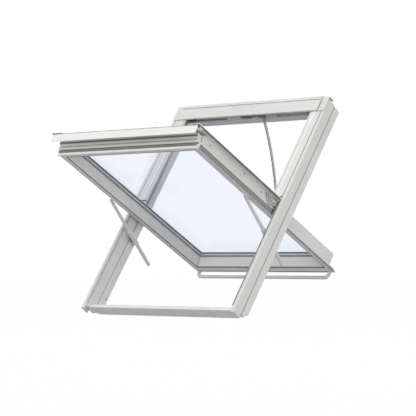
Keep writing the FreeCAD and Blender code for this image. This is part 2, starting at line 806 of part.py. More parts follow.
def sash_hinge(name, sign):
    """Make the plate on the sash with its curved tracks and pin."""
    hinge = new_body(name)
    pin_edge = "boss_diameter / 2"
    pin_top = f"{pin_edge} - pivot_depth"
    plate = [("-hinge_reach", "-hinge_top"), ("-hinge_tail", "-hinge_top"), (minus(pin_edge), pin_top),
             (pin_edge, pin_top), ("hinge_tail", "-hinge_top"), ("hinge_tail", "hinge_corner - hinge_bottom"),
             ("hinge_tail - hinge_corner", "-hinge_bottom"), ("hinge_taper - hinge_reach", "-hinge_bottom")]
    prism(hinge, "YZ", plate, *side_run(sign, "sash_half", "sash_half + hinge_plate"))
    rounds(hinge, "YZ", "0", "-pivot_depth", ["pin_diameter"], *side_run(sign, "sash_half", "wall_face - 2"))
    cut = side_run(sign, "sash_half + hinge_plate - track_cut", "sash_half + hinge_plate + 1")
    for k in range(3):
        middle = f"2 * (track_radius + {k} * track_spacing)"
        rounds(hinge, "YZ", "-track_centre_fall", "track_centre_out",
               [f"{middle} + track_width", f"{middle} - track_width"], *cut, POCKET)
    place(hinge, "sash")


# Operator in the head: housing with its bays, cover plates, latch


def operator():
    """Make the operator's housing and its cover plates."""
    housing = new_body("operator_housing")
    prism(housing, "XZ", rectangle("-housing_left", "housing_right", "-housing_inner", "-housing_outer"),
          "head_edge", "head_back")
    bay_left = "bay_inset - housing_left"
    bay_right = f"{bay_left} + bay_width"
    bay_floor = "housing_edge - housing_inner"
    bay_top = "0 - housing_outer - housing_edge"
    for low, high in ((bay_left, bay_right), ("chain_place - chain_bay_half", "chain_place + chain_bay_half")):
        prism(housing, "XZ", rectangle(low, high, bay_floor, bay_top), "head_edge - 1",
              "head_edge + bay_depth", POCKET)
    place(housing, "frame")

    left_edge = "housing_edge - housing_left"
    middle_edge = f"{bay_right} + middle_plate_gap"
    right_edge = "housing_right - housing_edge"
    spans = [(left_edge, f"{left_edge} + left_plate_width"),
             (middle_edge, f"{middle_edge} + middle_plate_width"),
             (f"{right_edge} - right_plate_width", right_edge)]
    plates = []
    for low, high in spans:
        plate = new_body("operator_plate")
        prism(plate, "XZ", rectangle(low, high, bay_floor, bay_top), "head_edge - plate_stand", "head_edge")
        plates.append(plate)
    join_apart("operator_cover_plates", plates, "frame")


def top_latch():
    """Make the catch beside the operator, with its hook."""
    latch = new_body("top_latch")
    left = "latch_inset - stile_face"
    top = "0 - head_hollow - 1.5 * latch_inset"
    front = "head_back - latch_stand"
    prism(latch, "XZ", rectangle(left, f"{left} + latch_width", f"{top} - latch_height", top),
          front, "head_back")
    hook = rectangle(f"{left} + latch_hook", f"{left} + latch_width / 2",
                     f"{top} + latch_hook - latch_height", f"{top} - latch_hook")
    prism(latch, "XZ", hook, f"{front} - latch_hook", front)
    place(latch, "frame")


# Chain from the operator to the head of the sash, along an arc


def opening_chain():
    """Make the chain, swept from the hook to the operator."""
    chain = new_body("chain")
    path = sketch_on(chain, "YZ")
    path.setExpression("AttachmentOffset.Base.z", bound("chain_place"))
    centre = FreeCAD.Vector(sheet.chain_centre_rise, sheet.chain_centre_out, 0)
    start = math.atan2(sheet.chain_end_out - centre.y, sheet.chain_end_rise - centre.x)
    end = math.atan2(sheet.chain_start_out - centre.y, sheet.head_edge - centre.x)
    circle = Part.Circle(centre, FreeCAD.Vector(0, 0, 1), sheet.chain_radius)
    path.addGeometry(Part.ArcOfCircle(circle, start, end), False)
    fix_point(path, 0, 3, "chain_centre_rise", "chain_centre_out")
    fix_point(path, 0, 1, "chain_end_rise", "chain_end_out")
    tie(path, "DistanceX", 0, 2, "head_edge")
    doc.recompute()
    link = sketch_on(chain, path)
    draw_outline(link, rectangle("0 - chain_width / 2", "chain_width / 2", "0 - chain_depth / 2", "chain_depth / 2"))
    sweep(chain, link, path)
    place(chain, "frame")


def chain_bracket():
    """Make the hook on the sash that holds the end of the chain between two cheeks."""
    hook = new_body("chain_bracket")
    base_low = "flange_thickness - sash_face"
    base_high = f"{base_low} + hook_cheek"
    prism(hook, "XY", rectangle("chain_place - hook_base_half", "chain_place + hook_base_half",
                                "sash_head", "sash_head + 2 * hook_stand"), base_low, base_high)
    for edge in ("chain_place - hook_cheek_gap - hook_cheek", "chain_place + hook_cheek_gap"):
        cheek = rectangle(edge, f"{edge} + hook_cheek", "hook_rise - hook_stand / 2", "hook_rise + hook_stand / 2")
        prism(hook, "XY", cheek, f"{base_high} - 1", "hook_pin_diameter - hook_depth")
    pin_half = "hook_cheek_gap + hook_cheek + 1"
    rounds(hook, "YZ", "hook_rise", "-hook_depth", ["hook_pin_diameter"],
           f"chain_place - ({pin_half})", f"chain_place + {pin_half}")
    place(hook, "sash")


# Control bar below the head of the sash, its ends bent up to the sash


def bar_path(body):
    """Draw the bar's middle line: two legs, two bends and the run between them."""
    path = sketch_on(body, "XZ")
    path.setExpression("AttachmentOffset.Base.z", bound(minus("bar_rise")))
    half, bend, axis = sheet.bar_half, sheet.bar_bend, FreeCAD.Vector(0, 0, 1)
    top, middle, low = -sheet.bar_foot_level, sheet.bar_bend - sheet.bar_level, -sheet.bar_level
    left_bend = Part.Circle(FreeCAD.Vector(bend - half, middle, 0), axis, bend)
    right_bend = Part.Circle(FreeCAD.Vector(half - bend, middle, 0), axis, bend)
    path.addGeometry(Part.LineSegment(FreeCAD.Vector(-half, top, 0), FreeCAD.Vector(-half, middle, 0)), False)
    path.addGeometry(Part.ArcOfCircle(left_bend, math.pi, 1.5 * math.pi), False)
    path.addGeometry(Part.LineSegment(FreeCAD.Vector(bend - half, low, 0), FreeCAD.Vector(half - bend, low, 0)),
                     False)
    path.addGeometry(Part.ArcOfCircle(right_bend, 1.5 * math.pi, 2 * math.pi), False)
    path.addGeometry(Part.LineSegment(FreeCAD.Vector(half, middle, 0), FreeCAD.Vector(half, top, 0)), False)
    join_ends(path, 0, path.GeometryCount, False)
    for line, end, across, level in (
            (0, 1, "-bar_half", "-bar_foot_level"), (0, 2, "-bar_half", "bar_bend - bar_level"),
            (2, 1, "bar_bend - bar_half", "-bar_level"), (2, 2, "bar_half - bar_bend", "-bar_level"),
            (4, 1, "bar_half", "bar_bend - bar_level"), (4, 2, "bar_half", "-bar_foot_level")):
        fix_point(path, line, end, across, level)
    for arc in (1, 3):
        index = path.addConstraint(Sketcher.Constraint("Radius", arc, bend))
        path.setExpression(f"Constraints[{index}]", bound("bar_bend"))
    doc.recompute()
    return path


def control_bar():
    """Make the bar and the feet that hold it."""
    bar = new_body("control_bar")
    path = bar_path(bar)
    section = sketch_on(bar, path)
    draw_circle(section, "0", "0", "bar_diameter")
    sweep(bar, section, path)
    place(bar, "sash")

    feet = []
    for sign in SIDES.values():
        foot = new_body("bar_foot")
        run = side_run(sign, "bar_half - bar_foot_half", "bar_half + bar_foot_half")
        prism(foot, "XY", rectangle(*run, "bar_rise - bar_foot_fall", "bar_rise + bar_foot_rise"),
              "-bar_foot_level", "-sash_face")
        feet.append(foot)
    join_apart("control_bar_brackets", feet, "sash")


# Gas dampers: bracket and trunnion on the frame, ball stud on the sash


def damper_bracket(name, sign):
    """Make the plate on the stile with the trunnion that carries a damper."""
    bracket = new_body(name)
    plate = [("0 - trunnion_below - bracket_half", "-bracket_low"),
             ("bracket_half - trunnion_below", "-bracket_low"),
             ("bracket_half - trunnion_below", "-bracket_shoulder"),
             ("bracket_neck - trunnion_below", "-bracket_top"),
             ("0 - trunnion_below - bracket_neck", "-bracket_top"),
             ("0 - trunnion_below - bracket_half", "-bracket_shoulder")]
    prism(bracket, "YZ", plate, *side_run(sign, "stile_face - bracket_gauge", "stile_face"))
    trunnion_tip = "damper_place + collar_diameter / 2 - trunnion_bite"
    rounds(bracket, "YZ", "-trunnion_below", "-trunnion_depth", ["trunnion_diameter"],
           *side_run(sign, trunnion_tip, "stile_face - 1"))
    place(bracket, "frame")


def damper_studs():
    """Make the ball studs on the sash's inner face."""
    studs = []
    for sign in SIDES.values():
        stud = new_body("stud")
        run = side_run(sign, "damper_place - stud_base_half", "damper_place + stud_base_half")
        prism(stud, "XY", rectangle(*run, "0 - stud_below - stud_base_length", "stud_base_length - stud_below"),
              "0 - sash_face - stud_base_gauge", "-sash_face")
        rounds(stud, "XY", f"{sign}(damper_place)", "-stud_below", ["stud_diameter"],
               "0 - sash_face - stud_stand", "-sash_face")
        ball = stud.newObject("PartDesign::AdditiveSphere", "Ball")
        ball.AttachmentSupport = [(origin_plane(stud, "XY"), "")]
        ball.MapMode = "FlatFace"
        ball.setExpression("Radius", bound("ball_diameter / 2"))
        ball.setExpression("AttachmentOffset.Base.x", bound(f"{sign}(damper_place)"))
        ball.setExpression("AttachmentOffset.Base.y", bound("-stud_below"))
        ball.setExpression("AttachmentOffset.Base.z", bound("0 - sash_face - stud_stand"))
        studs.append(stud)
    join_apart("damper_studs", studs, "sash")


def damper(word, sign):
    """Make a barrel with its collar, and the rod that slides in it."""
    across = f"{sign}(damper_place)"
    barrel = new_body(f"{word}_damper_tube")
    rounds(barrel, "XY", across, "0", ["barrel_diameter"], "-barrel_reach", "0")
    rounds(barrel, "XY", across, "0", ["collar_diameter"], "-collar_half", "collar_half")
    rounds(barrel, "XY", across, "0", ["rod_diameter + 2 * rod_play"], "barrel_end - barrel_reach",
           "collar_half + 1", POCKET)
    rim = "damper_place + collar_diameter / 2"
    rounds(barrel, "YZ", "0", "0", ["trunnion_diameter + 2 * pin_play"],
           *side_run(sign, f"{rim} - trunnion_bite", f"{rim} + 1"), POCKET)
    place(barrel, "damper")

    slide = new_body(f"{word}_damper_rod")
    cup_end = "damper_length - ball_diameter / 2"
    cup_start = f"{cup_end} - cup_length"
    rounds(slide, "XY", across, "0", ["rod_diameter"], "0 - barrel_reach / 2", cup_start)
    rounds(slide, "XY", across, "0", ["cup_diameter"], cup_start, f"{cup_end} - seat_gap")
    place(slide, "damper")


for word, sign in SIDES.items():
    frame_stile(f"frame_{word}_stile", sign)
    side_cladding(f"{word}_side_cladding", sign)
    hood_cap(f"{word}_hood_cap", sign)
    upper_cover(f"upper_{word}_cover", sign)
    lower_cover(f"lower_{word}_cover", sign)
    sash_stile(f"sash_{word}_stile", sign)
    frame_hinge(f"{word}_frame_hinge", sign)
    sash_hinge(f"{word}_sash_hinge", sign)
    damper_bracket(f"{word}_damper_bracket", sign)
    damper(word, sign)
for make in (frame_rails, frame_seal, top_hood, bottom_cover, sash_foot_rail, sash_head_rail, glazing,
             sash_seals, operator, top_latch, opening_chain, chain_bracket, control_bar, damper_studs):
    make()

doc.recompute()

for item in doc.Objects:
    if "Invalid" in item.State or "Error" in item.State:
        raise RuntimeError(f"{item.Name} {item.State} did not build")
    if item.TypeId == POCKET and item.Shape.Volume >= item.BaseFeature.Shape.Volume - 1:
        raise RuntimeError(f"{item.Name} removed nothing")

os.makedirs("parts", exist_ok=True)
for node in nodes:
    if node.Shape.isNull() or not node.Shape.isValid():
        raise RuntimeError(f"{node.Label} has no valid solid")
    node.Shape.exportStep(f"parts/{node.Label}.step")
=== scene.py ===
"""Dress the centre pivot window: finishes, small fittings, studio light and camera."""

import logging
import math
from collections.abc import Sequence
from dataclasses import dataclass, field
from enum import Enum

import bmesh
import bpy
from mathutils import Matrix, Vector


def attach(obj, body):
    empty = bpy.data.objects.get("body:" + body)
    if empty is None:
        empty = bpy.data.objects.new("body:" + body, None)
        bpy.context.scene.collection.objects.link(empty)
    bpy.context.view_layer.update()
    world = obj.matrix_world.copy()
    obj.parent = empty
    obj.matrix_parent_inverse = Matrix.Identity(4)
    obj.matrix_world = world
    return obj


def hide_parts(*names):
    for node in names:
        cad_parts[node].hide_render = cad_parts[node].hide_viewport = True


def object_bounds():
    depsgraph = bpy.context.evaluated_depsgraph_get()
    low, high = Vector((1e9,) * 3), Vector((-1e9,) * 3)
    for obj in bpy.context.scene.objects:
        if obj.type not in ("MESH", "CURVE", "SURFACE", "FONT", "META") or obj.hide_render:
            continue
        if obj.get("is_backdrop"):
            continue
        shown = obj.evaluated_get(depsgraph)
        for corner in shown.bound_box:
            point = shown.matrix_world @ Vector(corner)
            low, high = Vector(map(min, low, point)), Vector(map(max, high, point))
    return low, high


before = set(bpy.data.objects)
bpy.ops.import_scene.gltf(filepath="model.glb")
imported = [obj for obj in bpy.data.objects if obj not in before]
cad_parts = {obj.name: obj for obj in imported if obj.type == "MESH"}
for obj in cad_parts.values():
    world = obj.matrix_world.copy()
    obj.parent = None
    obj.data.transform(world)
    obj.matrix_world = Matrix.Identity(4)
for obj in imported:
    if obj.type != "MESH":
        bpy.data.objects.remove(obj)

log = logging.getLogger("window")

MM = 0.001
ACROSS = Vector((1, 0, 0))
WHITE = (1.0, 1.0, 1.0)
NOISE_SPAN = (0.3, 0.7)
SOFT_BEND = 35.0
FLAT_BEND = 20.0
ROLLED_BEND = 50.0

Pair = tuple[float, float]
Triple = tuple[float, float, float]
Box = tuple[float, float, float, float]
Outline = Sequence[Pair]
Mesh = bmesh.types.BMesh
Node = bpy.types.Node
Piece = bpy.types.Object
Socket = bpy.types.NodeSocket


class Side(Enum):
    """The two sides of the window, seen from outside."""

    LEFT = -1
    RIGHT = 1


class Slot(Enum):
    """Material slots of the record, one named with each of the scene's own pieces."""

    SHEET = "white_sheet"
    SEAL = "seal"
    GASKET = "gasket"
    STEEL = "hinge_steel"
    CHAIN = "chain_steel"
    PLASTIC = "operator_plastic"
    WOOD = "white_wood"
    DAMPER = "damper_steel"


@dataclass(frozen=True)
class WindowSizes:
    """The window's driving sizes in millimetres and degrees, as the solids have them."""

    roof_pitch: float = 56.0
    open_angle: float = 86.0
    pivot_depth: float = 10.0
    core_low: float = 678.0
    origin_depth: float = 62.5
    half_width: float = 570.0
    wall_face: float = 534.0
    stile_face: float = 522.0
    sash_half: float = 516.0
    sash_inner: float = 478.0
    sash_face: float = 92.0
    sash_head: float = 545.0
    sash_top: float = 605.0
    reveal_foot: float = 636.0
    glass_low: float = 628.0
    glass_high: float = 535.0
    glass_half: float = 470.0
    glass_seat: float = 40.0
    seat_side: float = 456.0
    seat_foot: float = 614.0
    seat_head: float = 521.0
    cover_outer: float = 548.0
    rib_inner: float = 488.0
    rib_outer: float = 512.0
    hinge_plate: float = 4.0
    head_edge: float = 628.0
    chain_place: float = 73.0
    chain_sag: float = 55.0
    hook_rise: float = 566.0
    hook_depth: float = 16.0
    chain_start: float = 55.0

    @property
    def sash_angle(self) -> float:
        """Return the slope of the turned sash in degrees."""
        return self.roof_pitch - self.open_angle


@dataclass(frozen=True)
class Lines:
    """Axes that a group of pieces is drawn on: across, up its own slope, and out of its face."""

    slope: float
    base: Vector

    def matrix(self) -> Matrix:
        """Return the turn and shift from these lines to the row's frame, in metres."""
        return Matrix.Translation(self.base) @ Matrix.Rotation(math.radians(self.slope), 4, "X")

    def point(self, across: float, rise: float, out: float) -> Vector:
        """Return a point in the row's frame in metres, from its place in millimetres."""
        return self.matrix() @ (Vector((across, rise, out)) * MM)

    def flat(self) -> Matrix:
        """Return the place of an outline in across and rise, run outwards, in millimetres."""
        return self.matrix() @ Matrix.Diagonal((MM, MM, MM, 1.0))

    def along(self) -> Matrix:
        """Return the place of an outline in across and out, run up the slope, in millimetres."""
        return self.flat() @ Matrix(((1, 0, 0, 0), (0, 0, 1, 0), (0, 1, 0, 0), (0, 0, 0, 1)))

    def across(self) -> Matrix:
        """Return the place of an outline in rise and out, run across, in millimetres."""
        return self.flat() @ Matrix(((0, 0, 1, 0), (1, 0, 0, 0), (0, 1, 0, 0), (0, 0, 0, 1)))


def turned(slope: float, rise: float, out: float) -> Vector:
    """Return a point in metres from its place along and square to a slope in degrees."""
    return Matrix.Rotation(math.radians(slope), 3, "X") @ (Vector((0, rise, out)) * MM)


def frame_lines(sizes: WindowSizes) -> Lines:
    """Return the lines of the fixed frame."""
    return Lines(sizes.roof_pitch, -turned(sizes.roof_pitch, -sizes.core_low, -sizes.origin_depth))


def sash_lines(sizes: WindowSizes) -> Lines:
    """Return the lines of the turned sash, which share the pivot with the frame."""
    pivot = frame_lines(sizes).point(0, 0, -sizes.pivot_depth)
    return Lines(sizes.sash_angle, pivot - turned(sizes.sash_angle, 0, -sizes.pivot_depth))


# Finishes


class Graph:
    """A node tree with short calls to add and link nodes."""

    def __init__(self, owner: bpy.types.Material | bpy.types.World, output: str) -> None:
        """Start an empty tree.

        Args:
            owner: the material or world that the tree belongs to.
            output: the output node's type name after ShaderNode.
        """
        owner.use_nodes = True
        self.owner = owner
        self.tree = owner.node_tree
        self.tree.nodes.clear()
        self.output = self.add(output)

    @classmethod
    def of_material(cls, name: str) -> "Graph":
        """Return the tree of a new material."""
        return cls(bpy.data.materials.new(name), "OutputMaterial")

    def feed(self, socket: Socket, value: object) -> None:
        """Fill an input.

        Args:
            socket: the input.
            value: an output to link, or the input's own plain value.
        """
        if isinstance(value, Socket):
            self.tree.links.new(value, socket)
        else:
            socket.default_value = value

    def add(self, kind: str, **values: object) -> Node:
        """Add a node.

        Args:
            kind: the node type's name after ShaderNode.
            values: inputs by name with spaces as underscores, or node properties.

        Returns:
            The new node.
        """
        node = self.tree.nodes.new("ShaderNode" + kind)
        for key, value in values.items():
            if hasattr(node, key):
                setattr(node, key, value)
            else:
                self.feed(node.inputs[key.replace("_", " ")], value)
        return node

    def math(self, operation: str, first: object, second: object) -> Socket:
        """Add a math node.

        Args:
            operation: what it does.
            first: its first value or socket.
            second: its second value or socket.

        Returns:
            The result.
        """
        node = self.add("Math", operation=operation)
        self.feed(node.inputs[0], first)
        self.feed(node.inputs[1], second)
        return node.outputs[0]

    def noise(self, scale: float, detail: float = 3.0) -> Socket:
        """Return noise fixed to the object's own place."""
        place = self.add("TexCoord").outputs["Object"]
        return self.add("TexNoise", Vector=place, Scale=scale, Detail=detail).outputs["Fac"]

    def ramp(self, value: Socket, span: Pair, out: Pair = (0.0, 1.0)) -> Socket:
        """Return a value mapped from one span to another and clamped."""
        return self.add("MapRange", Value=value, From_Min=span[0], From_Max=span[1],
                        To_Min=out[0], To_Max=out[1]).outputs["Result"]

    def mix(self, share: Socket, first: object, second: object) -> Socket:
        """Mix two colours.

        Args:
            share: how much of the second colour shows.
            first: the first colour, or a socket.
            second: the second colour, or a socket.

        Returns:
            The mixed colour.
        """
        node = self.add("Mix", data_type="RGBA")
        values = {"Factor_Float": share, "A_Color": first, "B_Color": second}
        for socket in node.inputs:
            if socket.identifier in values:
                self.feed(socket, values[socket.identifier])
        return next(socket for socket in node.outputs if socket.identifier == "Result_Color")

    def bump(self, height: Socket, strength: float, distance: float, **values: object) -> Socket:
        """Return the normal of a bump, on another normal where one is given."""
        node = self.add("Bump", Height=height, Strength=strength, Distance=distance, **values)
        return node.outputs["Normal"]

    def coated(self, tone: Socket, rough: Socket, normal: Socket, metallic: float = 0.0) -> Node:
        """Return the main shader on a colour, a roughness and a normal."""
        return self.add("BsdfPrincipled", Base_Color=tone, Roughness=rough, Normal=normal,
                        Metallic=metallic)

    def blend(self, share: Socket, first: Node, second: Node) -> Node:
        """Mix two shaders.

        Args:
            share: how much of the second shader shows.
            first: the first shader.
            second: the second shader.

        Returns:
            The mixed shader.
        """
        node = self.add("MixShader")
        for socket, value in zip(node.inputs, (share, first.outputs[0], second.outputs[0])):
            self.feed(socket, value)
        return node

    def surface(self, shader: Node) -> bpy.types.Material | bpy.types.World:
        """Link a shader to the output and return what the tree belongs to."""
        self.feed(self.output.inputs["Surface"], shader.outputs[0])
        return self.owner


def rgba(colour: Triple, share: float = 1.0, lift: float = 0.0) -> tuple[float, ...]:
    """Return a colour with full alpha, its channels scaled by a share and lifted."""
    return (*(channel * share + lift for channel in colour), 1.0)


def around(value: float, drift: Pair) -> Pair:
    """Return the span round a value, from its lower drift to its upper one."""
    return (value + drift[0], value + drift[1])


@dataclass(frozen=True)
class Coating:
    """A lacquered or moulded finish with painted shade in its corners and a soft edge."""

    name: str
    colour: Triple
    roughness: float
    grain: float = 220.0
    relief: float = 0.04
    relief_depth: float = 0.0004
    # painted shade: how strongly, how far and towards which tone the colour darkens in corners and
    # creases
    corner_shade: float = 0.25
    corner_shade_reach: float = 0.014
    corner_shade_span: Pair = (0.15, 0.85)
    corner_shade_tone: float = 0.45
    wear_size: float = 5.0
    wear_span: Pair = (0.35, 0.7)
    wear_tone: float = 0.93
    gloss_size: float = 38.0
    gloss_drift: Pair = (-0.05, 0.07)
    edge: float = 0.0012

    def build(self) -> bpy.types.Material:
        """Make the finish.

        Returns:
            The node material.
        """
        graph = Graph.of_material(self.name)
        worn = graph.ramp(graph.noise(self.wear_size), self.wear_span)
        tone = graph.mix(worn, rgba(self.colour), rgba(self.colour, self.wear_tone))
        # painted shade: ambient occlusion darkens the colour in corners, creases and under parts
        corner = graph.add("AmbientOcclusion", Distance=self.corner_shade_reach, samples=6).outputs["AO"]
        corner_shaded = graph.ramp(corner, self.corner_shade_span, (self.corner_shade, 0.0))
        tone = graph.mix(corner_shaded, tone, rgba(self.colour, self.corner_shade_tone))
        gloss = around(self.roughness, self.gloss_drift)
        rough = graph.ramp(graph.noise(self.gloss_size), NOISE_SPAN, gloss)
        rounded = graph.add("Bevel", Radius=self.edge, samples=4).outputs["Normal"]
        fine = graph.noise(self.grain, 2.0)
        normal = graph.bump(fine, self.relief, self.relief_depth, Normal=rounded)
        return graph.surface(graph.coated(tone, rough, normal))


@dataclass(frozen=True)
class Rubber:
    """A dull rubber with dust on it."""

    name: str
    colour: Triple
    dust: float = 0.3
    dust_size: float = 60.0
    dust_span: Pair = (0.4, 0.75)
    dust_lift: float = 0.12
    grain: float = 500.0
    relief: float = 0.25
    relief_depth: float = 0.0006
    roughness: Pair = (0.6, 0.8)

    def build(self) -> bpy.types.Material:
        """Make the finish.

        Returns:
            The node material.
        """
        graph = Graph.of_material(self.name)
        cloud = graph.noise(self.dust_size, 4.0)
        dusty = graph.ramp(cloud, self.dust_span, (0.0, self.dust))
        tone = graph.mix(dusty, rgba(self.colour), rgba(self.colour, lift=self.dust_lift))
        normal = graph.bump(graph.noise(self.grain, 2.0), self.relief, self.relief_depth)
        rough = graph.ramp(cloud, NOISE_SPAN, self.roughness)
        return graph.surface(graph.coated(tone, rough, normal))


@dataclass(frozen=True)
class Metal:
    """A bare or plated metal with fine brushing and dull patches."""

    name: str
    colour: Triple
    roughness: float = 0.35
    gloss_drift: Pair = (-0.08, 0.12)
    stretch: Triple = (900.0, 30.0, 30.0)
    patina: float = 0.35
    patina_size: float = 45.0
    patina_span: Pair = (0.42, 0.72)
    patina_tone: float = 0.62
    relief: float = 0.08
    relief_depth: float = 0.0002
    metallic: float = 0.85

    def build(self) -> bpy.types.Material:
        """Make the finish.

        Returns:
            The node material.
        """
        graph = Graph.of_material(self.name)
        place = graph.add("TexCoord").outputs["Object"]
        lines = graph.add("Mapping", Vector=place, Scale=self.stretch).outputs[0]
        brush = graph.add("TexNoise", Vector=lines, Scale=1.0, Detail=2.0).outputs["Fac"]
        dull = graph.ramp(graph.noise(self.patina_size, 5.0), self.patina_span, (0.0, self.patina))
        tone = graph.mix(dull, rgba(self.colour), rgba(self.colour, self.patina_tone))
        rough = graph.ramp(brush, NOISE_SPAN, around(self.roughness, self.gloss_drift))
        normal = graph.bump(brush, self.relief, self.relief_depth)
        return graph.surface(graph.coated(tone, rough, normal, self.metallic))


@dataclass(frozen=True)
class Glass:
    """Clear float glass with a faint cold tint, open to the lamps."""

    name: str
    tint: Triple = (0.965, 0.975, 0.996)
    gloss: float = 0.045
    index: float = 1.45
    smear_size: float = 9.0
    smear_span: Pair = (0.4, 0.8)
    smear: Pair = (0.015, 0.06)

    def build(self) -> bpy.types.Material:
        """Make the finish.

        Returns:
            The node material.
        """
        graph = Graph.of_material(self.name)
        smear = graph.ramp(graph.noise(self.smear_size, 4.0), self.smear_span, self.smear)
        clear = graph.add("BsdfTransparent", Color=rgba(self.tint))
        mirror = graph.add("BsdfGlossy", Color=rgba(WHITE), Roughness=smear)
        edge = graph.add("Fresnel", IOR=self.index).outputs[0]
        return graph.surface(graph.blend(graph.math("MULTIPLY", edge, self.gloss), clear, mirror))


@dataclass
class Finishes:
    """Every finish of the window, built once and shared."""

    wood: Coating = Coating("painted_wood", (0.80, 0.80, 0.775), 0.42, grain=160.0, relief=0.06)
    sheet: Coating = Coating("white_sheet", (0.86, 0.86, 0.83), 0.34, relief=0.03)
    # painted shade: the hood, side cladding, upper covers and weather lips are the same white
    # sheet, given darker copies of its colour for the light that falls on them
    hood: Coating = Coating("hood_sheet_shaded", (0.74, 0.745, 0.72), 0.34, relief=0.03)
    side: Coating = Coating("side_sheet_shaded", (0.78, 0.785, 0.76), 0.36, relief=0.03)
    hinge: Coating = Coating("hinge_plating", (0.72, 0.72, 0.70), 0.32, grain=300.0)
    damper: Coating = Coating("damper_lacquer", (0.70, 0.71, 0.69), 0.35)
    plastic: Coating = Coating("grey_plastic", (0.52, 0.53, 0.55), 0.45, grain=400.0, relief=0.1)
    dark: Coating = Coating("dark_plastic", (0.10, 0.10, 0.11), 0.5, grain=400.0, relief=0.1)
    bar: Coating = Coating("bar_lacquer", (0.67, 0.675, 0.67), 0.3)
    # painted shade: the frame's top rail is the white wood in a darker blue-grey copy, for the
    # shade under the head
    top_rail_shade: Coating = Coating("head_top_rail_shade", (0.60, 0.61, 0.63), 0.42, grain=160.0)
    shade: Coating = Coating("shadow_line", (0.20, 0.20, 0.195), 0.6, grain=400.0)
    # painted shade and light: the seals' grey rubber is darker on the webs and lighter on the
    # ribs, standing for the shade between the ribs and their lit faces
    seal: Rubber = Rubber("ribbed_seal", (0.21, 0.21, 0.205))
    rib: Rubber = Rubber("seal_rib", (0.37, 0.37, 0.36))
    band: Rubber = Rubber("grey_rubber", (0.42, 0.42, 0.415))
    gasket: Rubber = Rubber("glazing_rubber", (0.10, 0.105, 0.12))
    lip: Rubber = Rubber("glass_lip_rubber", (0.40, 0.41, 0.43))
    pane_gasket: Rubber = Rubber("pane_gasket", (0.24, 0.245, 0.26))
    steel: Metal = Metal("plated_steel", (0.62, 0.62, 0.62))
    chain: Metal = Metal("chain_steel", (0.50, 0.50, 0.50), roughness=0.3)
    spacer: Coating = Coating("spacer_coat", (0.67, 0.69, 0.71), 0.4, grain=300.0)
    glass: Glass = Glass("clear_glass")
    built: dict[str, bpy.types.Material] = field(default_factory=dict)

    def get(self, name: str) -> bpy.types.Material:
        """Find a finish, and build it on first use.

        Args:
            name: the finish's field name.

        Returns:
            Its material.
        """
        if name not in self.built:
            self.built[name] = getattr(self, name).build()
        return self.built[name]


# Mesh helpers


def rectangle(left: float, right: float, low: float, high: float) -> Outline:
    """Return a rectangle's corners."""
    return [(left, low), (right, low), (right, high), (left, high)]


def loop(side: float, foot: float, head: float, grow: float = 0.0) -> Outline:
    """Return the corners of a loop about the middle, grown all round."""
    return rectangle(-side - grow, side + grow, -foot - grow, head + grow)


def circle(middle: Pair, radius: float, steps: int = 16) -> Outline:
    """Return points round a circle."""
    turns = [math.tau * k / steps for k in range(steps)]
    return [(middle[0] + radius * math.cos(turn), middle[1] + radius * math.sin(turn))
            for turn in turns]


def stadium(length: float, width: float, steps: int = 6) -> Outline:
    """Draw a long outline with round ends, its centre at the origin.

    Args:
        length: distance between the centres of its ends.
        width: its width.
        steps: faces round each end.

    Returns:
        Points all round it.
    """
    points = []
    for end in (1, -1):
        for k in range(steps + 1):
            turn = math.pi * k / steps - math.pi / 2
            points.append((end * (length / 2 + width / 2 * math.cos(turn)),
                           end * width / 2 * math.sin(turn)))
    return points


def mirrored(side: Side, outline: Outline, edge: float = 0.0) -> Outline:
    """Return an outline drawn from an edge of the right side, set on the given side."""
    return [(side.value * (edge + across), other) for across, other in outline]


def reach(side: Side, near: float, far: float) -> Pair:
    """Return two distances from the middle as a rising pair on the given side."""
    return (near, far) if side is Side.RIGHT else (-far, -near)


def add_points(mesh: Mesh, place: Matrix, outline: Outline,
               level: float) -> list[bmesh.types.BMVert]:
    """Return an outline's new points at a level along local Z."""
    return [mesh.verts.new(place @ Vector((x, y, level))) for x, y in outline]


def add_skin(mesh: Mesh, rings: list[list[bmesh.types.BMVert]]) -> None:
    """Close a form over rings of points, with a face at each end.

    Args:
        mesh: the bmesh that receives it.
        rings: rings with the same count of points, from one end to the other.
    """
    for lower, upper in zip(rings, rings[1:]):
        for k, corner in enumerate(lower):
            after = (k + 1) % len(lower)
            mesh.faces.new((corner, lower[after], upper[after], upper[k]))
    mesh.faces.new(rings[0][::-1])
    mesh.faces.new(rings[-1])


def add_disc(mesh: Mesh, place: Matrix, profile: Outline, faces: int = 20) -> None:
    """Add a turned form about local Z, on pairs of radius and height."""
    add_skin(mesh, [add_points(mesh, place, circle((0.0, 0.0), radius, faces), height)
                    for radius, height in profile])


def add_prism(mesh: Mesh, place: Matrix, outline: Outline, low: float, high: float) -> None:
    """Add a straight prism on an outline in local X and Y, from low to high along local Z."""
    add_skin(mesh, [add_points(mesh, place, outline, level) for level in (low, high)])


def add_strips(mesh: Mesh, place: Matrix, edge: float, outline: Outline, run: Pair) -> None:
    """Add a strip on both sides, its outline drawn from an edge of the right side."""
    for side in Side:
        add_prism(mesh, place, mirrored(side, outline, edge), *run)


def add_ring(mesh: Mesh, place: Matrix, outer: Outline, inner: Outline, levels: Pair) -> None:
    """Add a flat ring between two outlines.

    Args:
        mesh: the bmesh that receives it.
        place: turn, shift and scale of its lines.
        outer: its outer edge in local X and Y.
        inner: its inner edge, with as many points.
        levels: its start and end along local Z.
    """
    rings = [add_points(mesh, place, outline, level)
             for outline in (outer, inner) for level in levels]
    outer_low, outer_high, inner_low, inner_high = rings
    for k in range(len(outer_low)):
        after = (k + 1) % len(outer_low)
        mesh.faces.new((outer_low[k], outer_low[after], outer_high[after], outer_high[k]))
        mesh.faces.new((inner_low[after], inner_low[k], inner_high[k], inner_high[after]))
        mesh.faces.new((outer_low[after], outer_low[k], inner_low[k], inner_low[after]))
        mesh.faces.new((outer_high[k], outer_high[after], inner_high[after], inner_high[k]))


# Sub-assemblies


